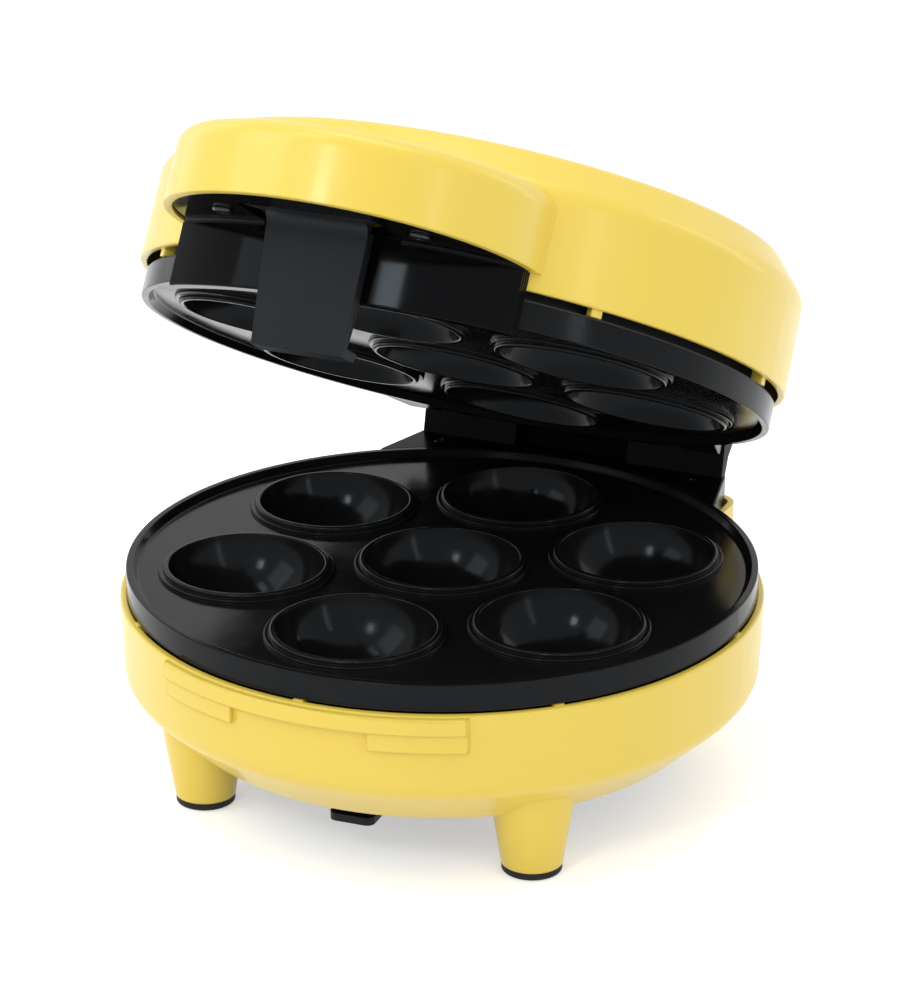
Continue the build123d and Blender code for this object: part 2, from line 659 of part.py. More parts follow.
def cover_screws():
    """Screws of the bottom cover, heads down."""
    return [screw(COVER_T + BITE, x, y, FLOOR_Z, up=True) for x, y in cover_screw_centres()]


def terminal_block():
    """Terminal block of the supply cord on the bottom cover."""
    low = FLOOR_Z + COVER_T
    high = low + TERMINAL_H
    body = Pos(0, TERMINAL_Y, (low + high) / 2) * Box(TERMINAL_L, TERMINAL_W, TERMINAL_H)
    for k in range(CLAMPS):
        x = (k - (CLAMPS - 1) / 2) * CLAMP_PITCH
        body += Pos(x, TERMINAL_Y, high + CLAMP_H / 2) * Box(CLAMP_W, CLAMP_L, CLAMP_H)
        body -= rod(CLAMP_BORE_R, high - WALL, high + CLAMP_H, x, TERMINAL_Y)
    return body


def cord_gland():
    """Grommet of the cord inlet in the rear wall."""
    body = Cylinder(GLAND_R, WALL + 2 * EASE)
    rim = (WALL + GLAND_LIP_T) / 2 + EASE
    body += Pos(0, 0, rim) * Cylinder(GLAND_R + WALL, GLAND_LIP_T)
    body += Pos(0, 0, -rim) * Cylinder(GLAND_R + GLAND_LIP_T, GLAND_LIP_T)
    body -= Cylinder(GLAND_R - GLAND_WALL, 4 * WALL)
    return Pos(0, REAR_Y - WALL / 2, GLAND_Z) * Rot(-90, 0, 0) * body


# -------------------------------------------------------------------- hinge --
def wing_x(y):
    """Half width of a hinge block at a place along Y: its wings narrow towards the back."""
    return BLOCK_WING_W - BLOCK_TAPER * (y - BLOCK_TAPER_Y)


def hinge_plan(back_y, inset=0.0):
    """Plan of a hinge block's wings: round the plate in front, narrowing to a straight back."""
    outer, back = BLOCK_WING_W - inset, back_y - inset
    wings = face_of((-outer, BLOCK_WING_FRONT), (outer, BLOCK_WING_FRONT), (outer, BLOCK_TAPER_Y),
                    (wing_x(back_y) - inset, back), (inset - wing_x(back_y), back), (-outer, BLOCK_TAPER_Y))
    return wings - Circle(BLOCK_ARC_R + inset)


def tower_outline(knuckle_r=KNUCKLE_R):
    """Side outline of a tower, leaning back from the block's rear edge up to the pin."""
    foot, waist = BLOCK_TOP - WALL, BLOCK_TOP + TOWER_WAIST
    outline = face_of(
        (TOWER_FRONT_Y, foot), (TOWER_FRONT_Y + TOWER_NECK, foot), (TOWER_FRONT_Y + TOWER_NECK, BLOCK_TOP),
        (TOWER_WAIST_Y + 1.3 * TOWER_NECK, waist), (HINGE_Y + knuckle_r * 0.86, HINGE_Z - knuckle_r / 2),
        (HINGE_Y, HINGE_Z), (HINGE_Y - knuckle_r, HINGE_Z), (TOWER_WAIST_Y, waist))
    return outline + Pos(HINGE_Y, HINGE_Z) * Circle(knuckle_r)


def tower():
    """Tower on the right: two ribs joined by a skin in front and on top, open behind."""
    body = side_slab(tower_outline(), TOWER_IN, TOWER_OUT)
    pocket = side_slab(tower_outline(), TOWER_IN + RIB_T, TOWER_OUT - RIB_T)
    pocket = Pos(0, WALL, -WALL) * pocket
    pocket &= block(-FAR, FAR, -FAR, FAR, BLOCK_TOP, FAR)
    return body - pocket


def web_outline():
    """Side outline of the web that joins the towers under the lid's knuckle."""
    return face_of(
        (WEB_Y, BLOCK_TOP - WALL), (REAR_Y, BLOCK_TOP - WALL), (REAR_Y, BLOCK_TOP),
        (REAR_Y + WALL, HINGE_Z - KNUCKLE_R - WALL), (REAR_Y + WALL, HINGE_Z - KNUCKLE_R),
        (REAR_Y - WALL / 2, HINGE_Z - KNUCKLE_R), (WEB_Y, BLOCK_TOP + WEB_H))


def hinge_block_lower():
    """Black block on the base with two towers for the pin and a web between them."""
    plan = hinge_plan(TOWER_FRONT_Y + TOWER_NECK) + Pos(0, REAR_Y / 2) * Rectangle(2 * TOWER_IN, REAR_Y)
    body = extrude(Pos(0, 0, RIM_Z) * (plan - Circle(BLOCK_ARC_R)), BLOCK_TOP - RIM_Z)
    body = chamfer(body.edges().group_by(Axis.Z)[-1], EASE)
    pocket = hinge_plan(TOWER_FRONT_Y + TOWER_NECK, WALL)
    body -= extrude(Pos(0, 0, RIM_Z) * pocket, BLOCK_TOP - RIM_Z - WALL - RECESS_D)
    web = side_slab(web_outline(), -TOWER_IN - WALL, TOWER_IN + WALL)
    body += web - rod_x(KNUCKLE_R + SWING_CLEAR, -TOWER_IN, TOWER_IN, HINGE_Y, HINGE_Z)
    for side in pair(tower()):
        body += side
    for x in (-HINGE_SCREW_X, HINGE_SCREW_X):
        body += rod(BOSS_R, HINGE_PILLAR_TOP, BLOCK_TOP - 2 * EASE, x, HINGE_SCREW_Y)
        body -= rod(SCREW_BORE_R, HINGE_PILLAR_TOP, BLOCK_TOP, x, HINGE_SCREW_Y)
        body -= rod(RECESS_R, BLOCK_TOP - RECESS_D, BLOCK_TOP, x, HINGE_SCREW_Y)
    return body - rod_x(HINGE_PIN_R + RUN, -FAR, FAR, HINGE_Y, HINGE_Z)


def hinge_screws_lower():
    """Two screws through the lower hinge block."""
    seat = BLOCK_TOP - RECESS_D
    length = seat - HINGE_PILLAR_TOP + BITE
    return [screw(length, x, HINGE_SCREW_Y, seat) for x in (-HINGE_SCREW_X, HINGE_SCREW_X)]


def hinge_pin():
    """Steel pin through both towers and the lid's knuckle, headed at both ends."""
    pin = rod_x(HINGE_PIN_R, -TOWER_OUT - RUN, TOWER_OUT + RUN, HINGE_Y, HINGE_Z)
    for head in pair(rod_x(PIN_HEAD_R, TOWER_OUT + RUN, TOWER_OUT + PIN_HEAD_T, HINGE_Y, HINGE_Z)):
        pin += head
    return pin


def arm_outline():
    """Side outline of the arm between the lid block's wings and its knuckle, clear of the web."""
    low, high = CLOSED_GAP / 4, LID_WALL_LOW
    chin_y, chin_h = polar(KNUCKLE_R, ARM_CHIN)
    return face_of((ARM_ROOT_Y - WALL, low), (ARM_ROOT_Y, low), (HINGE_Y + chin_y, AXIS_H + chin_h),
                   (HINGE_Y, AXIS_H), (REAR_Y, high), (ARM_ROOT_Y - WALL, high))


def hinge_block_upper():
    """Black block in the lid with the knuckle round the pin."""
    low, high = CLOSED_GAP / 4, LID_WALL_LOW
    wings = hinge_plan(ARM_ROOT_Y) - Rectangle(2 * (KNUCKLE_HALF_W - WALL), FAR)
    body = extrude(Pos(0, 0, low) * wings, high - low)
    body = chamfer(body.edges().group_by(Axis.Z)[0], EASE)
    body += outside(side_slab(arm_outline(), -KNUCKLE_HALF_W, KNUCKLE_HALF_W), BLOCK_ARC_R)
    body += rod_x(KNUCKLE_R, -KNUCKLE_HALF_W, KNUCKLE_HALF_W, HINGE_Y, AXIS_H)
    body -= rod_x(HINGE_PIN_R + RUN, -FAR, FAR, HINGE_Y, AXIS_H)
    for x in (-LID_SCREW_X, LID_SCREW_X):
        body -= rod(SCREW_BORE_R, low, high, x, HINGE_SCREW_Y)
        body -= rod(RECESS_R, low, low + RECESS_D, x, HINGE_SCREW_Y)
    return body


def hinge_screws_upper():
    """Two screws through the upper hinge block, heads down."""
    seat = CLOSED_GAP / 4 + RECESS_D
    length = LID_WALL_LOW - seat + BITE
    return [screw(length, x, HINGE_SCREW_Y, seat, up=True) for x in (-LID_SCREW_X, LID_SCREW_X)]


# ---------------------------------------------------------------- lid shell --
def lid_outline(inset=0.0, under=0.0):
    """Turned outline of the lid from its lower edge to its crown."""
    flare = (LID_WALL_R - SHOULDER_R) / (SHOULDER_H - LID_WALL_LOW)
    outline = [(LID_WALL_R + flare * under, LID_WALL_LOW - under), (SHOULDER_R, SHOULDER_H),
               (BEVEL_R, BEVEL_H), (0, CROWN_H)]
    return inset_outline(outline, inset)


def lid_drum(inset=0.0, under=0.0):
    """Turned body of the lid, or its cavity when inset and run under the edge."""
    wall_low, shoulder, bevel, crown = lid_outline(inset, under)
    section = face_of(wall_low, shoulder, bevel, crown, (0, wall_low[1]))
    if inset == 0:
        section = eased(section, (wall_low, RIM_EASE))
    body = turned(section)
    if inset == 0:
        rings = body.edges().filter_by(GeomType.CIRCLE)
        body = fillet([e for e in rings if abs(e.center().Z - SHOULDER_H) < 0.1], SHOULDER_EDGE)
        rings = body.edges().filter_by(GeomType.CIRCLE)
        body = fillet([e for e in rings if abs(e.center().Z - BEVEL_H) < 0.1], BEVEL_EDGE)
    return body


def visor_plan(inset=0.0):
    """Plan of the front lobe with its roots blended into the round wall."""
    reach = VISOR_ROOT_R + VISOR_BLEND
    span = VISOR_R + VISOR_BLEND
    y = (reach ** 2 - span ** 2 + VISOR_Y ** 2) / (2 * VISOR_Y)
    x = sqrt(reach ** 2 - y ** 2)
    plan = Circle(VISOR_ROOT_R - inset) + Pos(0, VISOR_Y) * Circle(VISOR_R - inset)
    plan += face_of((0, 0), (x, y), (0, VISOR_Y), (-x, y))
    for side in (-x, x):
        plan -= Pos(side, y) * Circle(VISOR_BLEND + inset)
    return plan & Pos(0, VISOR_Y) * Rectangle(3 * VISOR_R, 2 * VISOR_R)


def visor_lobe(inset=0.0, low=0.0):
    """Front lobe of the lid, or its cavity when inset, run down to height low."""
    plan = visor_plan(inset)
    front_y = VISOR_Y - VISOR_R
    fall = (VISOR_BACK_H - VISOR_FRONT_H) / VISOR_R
    top = face_of((front_y - VISOR_R, low - 1), (0, low - 1),
                  (0, VISOR_BACK_H - inset - fall * VISOR_Y),
                  (front_y - VISOR_R, VISOR_BACK_H - inset - fall * (VISOR_Y - front_y + VISOR_R)))
    lobe = Pos(0, 0, low) * extrude(plan, CROWN_H - low)
    lobe &= side_slab(top, -2 * VISOR_R, 2 * VISOR_R)
    if inset == 0:
        lobe = fillet(lobe.edges().filter_by(lambda e: e.center().Z > VISOR_FRONT_H - 1
                                             and e.center().Y < VISOR_Y / 1.3), VISOR_EDGE)
    return lobe


def upper_housing():
    """Moulded lid: turned shell, hollow visor, rear block and inner pillars."""
    solid = lid_drum() + outside(visor_lobe(0.0, VISOR_LOW), VISOR_ROOT_R - WALL)
    rear = rear_slab(LID_WALL_LOW, LID_REAR_H)
    rear = fillet(rear.edges().group_by(Axis.Z)[-1].sort_by(Axis.Y)[-3:], REAR_EDGE)
    solid += outside(rear, SHOULDER_R - WALL)
    shell = solid - lid_drum(WALL, 2 * WALL)
    shell -= outside(visor_lobe(VISOR_WALL, VISOR_LOW - WALL), LID_WALL_R)
    shell -= outside(rear_slab(LID_WALL_LOW - WALL, LID_REAR_H - WALL, WALL), LID_WALL_R)
    swing_half = TOWER_OUT + PIN_HEAD_T + SWING_CLEAR
    shell -= rod_x(KNUCKLE_R + SWING_CLEAR, -swing_half, swing_half, HINGE_Y, AXIS_H)
    ledge_top, bite = LEDGE_LOW + LEDGE_T, BITE + BORE_SPARE
    pillars = []
    for x, y in pan_screw_centres():
        pillars.append(rod(PILLAR_R, -PAN_UNDER, CROWN_H, x, y) & lid_drum())
    for x in (-LID_SCREW_X, LID_SCREW_X):
        pillars.append(rod(BOSS_R, LID_WALL_LOW, LID_REAR_H - WALL, x, HINGE_SCREW_Y))
    for x in (-INSERT_SCREW_X, INSERT_SCREW_X):
        pillars.append(rod(PILLAR_R, ledge_top, VISOR_FRONT_H - VISOR_WALL / 2, x, INSERT_SCREW_Y))
    shell += pillars
    for x, y in pan_screw_centres():
        shell -= rod(SCREW_BORE_R, -PAN_UNDER, bite - PAN_UNDER, x, y)
    for x in (-LID_SCREW_X, LID_SCREW_X):
        shell -= rod(SCREW_BORE_R, LID_WALL_LOW, LID_WALL_LOW + bite, x, HINGE_SCREW_Y)
    for x in (-INSERT_SCREW_X, INSERT_SCREW_X):
        shell -= rod(SCREW_BORE_R, LEDGE_LOW, ledge_top + bite, x, INSERT_SCREW_Y)
    for x in (-LAMP_X, LAMP_X):
        shell -= rod(LAMP_R + RUN, BEVEL_H - 2 * WALL, CROWN_H + 1, x, LAMP_Y)
    return shell + housing_tabs(LID_WALL_LOW, SKIRT_H + SHEET_T, 1)


def lamp_lens(x):
    """Domed lens of a pilot lamp in the lid's crown."""
    seat = crown_height(LAMP_X, LAMP_Y)
    low = seat - 2 * WALL
    lens = rod(LAMP_R, low, seat + EASE, x, LAMP_Y)
    cap = Pos(x, LAMP_Y, seat + EASE + 2 * EASE - 2 * LAMP_R) * Sphere(2 * LAMP_R)
    lens += cap & rod(LAMP_R, seat + EASE, seat + EASE + LENS_DOME, x, LAMP_Y)
    return lens + rod(LAMP_R + LENS_LIP, low - LENS_LIP, low, x, LAMP_Y)


def crown_height(x, y):
    """Height of the lid's gently rising crown above its plate rim."""
    return CROWN_H - (CROWN_H - BEVEL_H) * sqrt(x * x + y * y) / BEVEL_R


def lamp_bodies():
    """Neon lamps behind the lenses."""
    high = crown_height(LAMP_X, LAMP_Y) - 2 * WALL - LENS_LIP
    return [rod(NEON_R, high - NEON_L, high, x, LAMP_Y) for x in (-LAMP_X, LAMP_X)]


# --------------------------------------------------- visor insert and latch --
def handle_insert():
    """Black insert: curved wall in front of the plate and ledge under the visor."""
    high = LEDGE_LOW + LEDGE_T
    half_width = INSERT_OUT_R * sin(radians(INSERT_HALF_ANGLE))
    inside = visor_plan(VISOR_WALL + FIT)
    section = face_of((INSERT_IN_R, INSERT_LOW), (INSERT_OUT_R, INSERT_LOW),
                      (INSERT_OUT_R, high), (INSERT_IN_R, high))
    wall = turned(eased(section, ((INSERT_OUT_R, INSERT_LOW), INSERT_EDGE)))
    wall &= block(-half_width, half_width, -FAR, 0, INSERT_LOW, high)
    free = rod(2 * INSERT_OUT_R, INSERT_LOW, VISOR_LOW - FIT)
    wall &= free + extrude(Pos(0, 0, VISOR_LOW - FIT) * inside, high)
    for k in range(FLUTES):
        radius = INSERT_IN_R + INSERT_T * (k + 0.5) / FLUTES
        y = -sqrt(radius ** 2 - half_width ** 2)
        for x in (-half_width, half_width):
            wall -= rod(FLUTE_R, INSERT_LOW, VISOR_LOW, x, y)
    ledge = extrude(Pos(0, 0, LEDGE_LOW) * (inside - Circle(INSERT_IN_R)), LEDGE_T)
    slot_half = FLANGE_HALF_W + 2 * EASE
    ledge -= block(-slot_half, slot_half, FLANGE_FRONT_Y - 3 * EASE, -INSERT_OUT_R, LEDGE_LOW, high)
    corner = turned(mirror(hollow_corner(-INSERT_OUT_R, LEDGE_LOW, INSERT_FILLET), Plane.YZ))
    corner &= extrude(Pos(0, 0, LEDGE_LOW - INSERT_FILLET) * inside, INSERT_FILLET)
    corner &= block(-half_width, half_width, -FAR, 0, -FAR, FAR)
    corner -= block(-slot_half, slot_half, -FAR, 0, -FAR, FAR)
    insert = wall + ledge + corner
    for side in pair(latch_lug()):
        insert += side
    insert -= rod_x(LATCH_PIN_R + RUN, -FAR, FAR, LATCH_PIN_Y, LATCH_PIN_H)
    for x in (-INSERT_SCREW_X, INSERT_SCREW_X):
        insert -= rod(SCREW_BORE_R, LEDGE_LOW, high, x, INSERT_SCREW_Y)
    return insert


def latch_lug():
    """Lug on the insert's wall that holds the latch pin, behind the flap."""
    back = -INSERT_IN_R * cos(radians(INSERT_HALF_ANGLE) / 2)
    rear = face_of((LATCH_PIN_Y, LATCH_PIN_H - LUG_R), (back, LATCH_PIN_H - LUG_R),
                   (back, LEDGE_LOW - FIT), (LATCH_PIN_Y, LEDGE_LOW - FIT))
    outline = rear + Pos(LATCH_PIN_Y, LATCH_PIN_H) * Circle(LUG_R)
    return outside(side_slab(outline, LUG_IN, LUG_OUT), INSERT_IN_R)


def insert_screws():
    """Two screws through the ledge into the visor."""
    length = LEDGE_T + BITE
    return [screw(length, x, INSERT_SCREW_Y, LEDGE_LOW, up=True) for x in (-INSERT_SCREW_X, INSERT_SCREW_X)]


def flap_front(height):
    """Y of the flap's sloping front face at a height."""
    share = (height - FLAP_LOW) / (FLANGE_LOW - FLAP_LOW)
    return FLAP_LOW_Y + share * (FLAP_TOP_Y - FLAP_LOW_Y)


def latch():
    """Rocking latch: push flange under the visor, flap and claw in front."""
    top = FLANGE_LOW + FLANGE_T
    half = FLAP_TOP_HALF_W
    plate = face_of((flap_front(top), top), (flap_front(top) + FLAP_T, top),
                    (FLAP_LOW_Y + FLAP_T, FLAP_LOW), (FLAP_LOW_Y, FLAP_LOW))
    tip = EASE - CLAW_TIP_R
    claw = face_of((FLAP_LOW_Y + EASE, CLAW_TOP), (tip, CLAW_TOP), (tip, CLAW_TOP - CLAW_TIP_T),
                   (tip - 3 * EASE, FLAP_LOW), (FLAP_LOW_Y + EASE, FLAP_LOW))
    body = side_slab(plate, -half, half) + side_slab(claw, -half, half)
    body += side_slab(hollow_corner(flap_front(FLANGE_LOW) + EASE, FLANGE_LOW, FLAP_FILLET), -half, half)
    body -= rod(CLAW_TIP_R, FLAP_LOW - FLAP_T, CLAW_TOP + FLAP_T)
    taper = face_of((-FLAP_LOW_HALF_W, FLAP_LOW), (FLAP_LOW_HALF_W, FLAP_LOW), (half, LATCH_PIN_H),
                    (half, top), (-half, top), (-half, LATCH_PIN_H))
    body &= extrude(Plane.XZ * taper, FAR)
    rib_top = LATCH_PIN_H + LUG_R + 2 * EASE
    rib = face_of((flap_front(rib_top) + EASE, rib_top), (FLAP_RIB_BACK_Y, rib_top),
                  (FLAP_RIB_BACK_Y, CLAW_TOP / 2), (FLAP_RIB_BACK_Y - 3 * EASE, CLAW_TOP),
                  (FLAP_LOW_Y + EASE, CLAW_TOP))
    for side in pair(side_slab(rib, FLAP_LOW_HALF_W - FLAP_RIB_T, FLAP_LOW_HALF_W)):
        body += side
    body += flange()
    barrel = rod_x(BARREL_R, SPRING_HALF_W + FIT, LUG_IN - FIT, LATCH_PIN_Y, LATCH_PIN_H)
    web = block(SPRING_HALF_W + FIT, LUG_IN - FIT, flap_front(LATCH_PIN_H) + EASE, LATCH_PIN_Y,
                LATCH_PIN_H - BARREL_WEB_T / 2, LATCH_PIN_H + BARREL_WEB_T / 2)
    for side in pair(barrel + web):
        body += side
    return body - rod_x(LATCH_PIN_R + RUN, -FAR, FAR, LATCH_PIN_Y, LATCH_PIN_H)


def flange():
    """Push flange of the latch, widening from the flap to its rounded front corners."""
    back_y = flap_front(FLANGE_LOW + FLANGE_T)
    wide, narrow = FLANGE_HALF_W, FLAP_TOP_HALF_W
    knee_y = back_y + (FLANGE_FRONT_Y - back_y) * 0.6
    plan = face_of((-wide, FLANGE_FRONT_Y), (wide, FLANGE_FRONT_Y), (wide, knee_y), (narrow, back_y),
                   (narrow, back_y + FLAP_T), (-narrow, back_y + FLAP_T), (-narrow, back_y), (-wide, knee_y))
    plan = eased(plan, ((-wide, FLANGE_FRONT_Y), FLANGE_CORNER), ((wide, FLANGE_FRONT_Y), FLANGE_CORNER))
    return extrude(Pos(0, 0, FLANGE_LOW) * plan, FLANGE_T)


def latch_pin():
    """Pin through the insert's lugs and the latch."""
    return rod_x(LATCH_PIN_R, -LUG_OUT, LUG_OUT, LATCH_PIN_Y, LATCH_PIN_H)


def latch_spring():
    """Torsion spring round the latch pin, one leg towards the insert, one on the flap."""
    coil_r = LATCH_PIN_R + RUN + WIRE_R
    reach = SPRING_HALF_W - WIRE_R
    path = Helix(2 * reach / SPRING_TURNS, 2 * reach, coil_r)
    coil = sweep(Plane(path @ 0, z_dir=path % 0) * Circle(WIRE_R), path, is_frenet=True)
    spring = Pos(-reach, LATCH_PIN_Y, LATCH_PIN_H) * Rot(180, 0, 0) * Rot(0, 90, 0) * coil
    height = LATCH_PIN_H + coil_r
    tips = ((-reach, -INSERT_OUT_R - SPRING_SLACK), (reach, flap_front(height) + FLAP_T + 2 * RUN))
    for x, tip in tips:
        leg = Cylinder(WIRE_R, abs(tip - LATCH_PIN_Y))
        spring += Pos(x, (tip + LATCH_PIN_Y) / 2, height) * Rot(90, 0, 0) * leg
        spring += Pos(x, LATCH_PIN_Y, height) * Sphere(WIRE_R)
    return spring


# -------------------------------------------------------------- all pieces --
def group(shapes):
    """Separate solids that share one node."""
    return Compound(children=[Compound(s.wrapped) if not isinstance(s, Solid) else s for s in shapes])


def placed(place, shapes):
    """Each shape put in its place."""
    return [place(shape) for shape in shapes]


def pieces():
    """Every node of the assembly by name."""
    nodes = {
        "lower_housing": lower_housing(),
        "bottom_cover": bottom_cover(),
        "bottom_cover_screws": group(cover_screws()),
        "terminal_block": terminal_block(),
        "cord_gland": cord_gland(),
        "hinge_block_lower": hinge_block_lower(),
        "hinge_screws_lower": group(hinge_screws_lower()),
        "hinge_pin": hinge_pin(),
        "upper_housing": lid(upper_housing()),
        "hinge_block_upper": lid(hinge_block_upper()),
        "hinge_screws_upper": group(placed(lid, hinge_screws_upper())),
        "handle_insert": lid(handle_insert()),
        "insert_screws": group(placed(lid, insert_screws())),
        "lamp_lens_power": lid(lamp_lens(-LAMP_X)),
        "lamp_lens_ready": lid(lamp_lens(LAMP_X)),
        "lamp_bodies": group(placed(lid, lamp_bodies())),
        "latch": lid(latch()),
        "latch_pin": lid(latch_pin()),
        "latch_spring": lid(latch_spring()),
    }
    corners = ("foot_front_left", "foot_front_right", "foot_rear_left", "foot_rear_right")
    for name, (x, y) in zip(corners, leg_centres()):
        nodes[name] = Pos(x, y, 0) * foot_pad()
    for half, place in (("lower", lower), ("upper", upper)):
        nodes[f"{half}_plate"] = place(baking_plate())
        nodes[f"{half}_plate_screws"] = group(placed(place, plate_screws()))
        nodes[f"{half}_reflector"] = place(reflector_pan())
        nodes[f"{half}_reflector_screws"] = group(placed(place, pan_screws()))
        nodes[f"{half}_heater"] = place(heater())
        nodes[f"{half}_heater_bushings"] = group(placed(place, heater_bushings()))
        nodes[f"{half}_thermostat"] = place(thermostat())
        nodes[f"{half}_thermal_fuse"] = place(thermal_fuse())
    return nodes


for node, solid in pieces().items():
    export_step(solid, f"parts/{node}.step")
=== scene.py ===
"""Donut maker with ball cups: finishes, soft edges, small hardware, light and camera."""
import json
import logging
import math
from dataclasses import dataclass
from enum import Enum

import bpy
from mathutils import Matrix, Vector

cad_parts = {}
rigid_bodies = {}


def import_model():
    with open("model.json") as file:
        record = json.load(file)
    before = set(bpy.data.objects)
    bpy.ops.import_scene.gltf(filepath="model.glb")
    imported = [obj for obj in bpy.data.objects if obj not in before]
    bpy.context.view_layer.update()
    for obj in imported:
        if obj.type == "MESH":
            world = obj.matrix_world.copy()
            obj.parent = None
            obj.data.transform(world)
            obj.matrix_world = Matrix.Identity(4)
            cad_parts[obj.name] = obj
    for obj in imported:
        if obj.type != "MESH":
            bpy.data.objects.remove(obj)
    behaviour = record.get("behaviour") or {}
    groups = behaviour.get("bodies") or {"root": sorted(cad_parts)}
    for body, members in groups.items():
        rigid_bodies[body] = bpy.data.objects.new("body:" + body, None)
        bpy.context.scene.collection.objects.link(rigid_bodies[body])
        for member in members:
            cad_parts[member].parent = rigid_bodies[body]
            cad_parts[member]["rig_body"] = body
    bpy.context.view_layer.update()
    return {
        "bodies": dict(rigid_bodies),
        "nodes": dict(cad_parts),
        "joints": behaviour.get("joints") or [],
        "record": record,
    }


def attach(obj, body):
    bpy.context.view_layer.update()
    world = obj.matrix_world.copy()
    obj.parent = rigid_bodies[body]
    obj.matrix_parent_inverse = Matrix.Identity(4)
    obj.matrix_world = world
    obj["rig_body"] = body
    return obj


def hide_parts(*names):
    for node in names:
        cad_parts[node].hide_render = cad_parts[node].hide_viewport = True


LOG = logging.getLogger("donut_maker")
MM = 0.001
MERGE = 1e-6                        # points closer than this are one, in metres
SMOOTH_ANGLE = math.radians(38)     # edges sharper than this stay sharp
COLOUR_PATCH = 0.05                 # size of the patches that a colour drifts over, in metres
GLOSS_PATCH = 0.018                 # the same for the gloss
NOISE_LOW, NOISE_HIGH = 0.3, 0.7    # stretch of the noise that holds most of its values

Colour = tuple[float, float, float]
Spot = tuple[float, float, float]
Outline = list[tuple[float, float]]


class Surface(Enum):
    """Kind of fine relief of a finish, with the detail of its noise."""

    SMOOTH = 0.0
    ORANGE_PEEL = 1.0
    CAST = 3.0
    SPARK = 6.0


class Facing(Enum):
    """Way that a screw's head faces, with the half turns about X that take it there."""

    UP = 0
    DOWN = 1


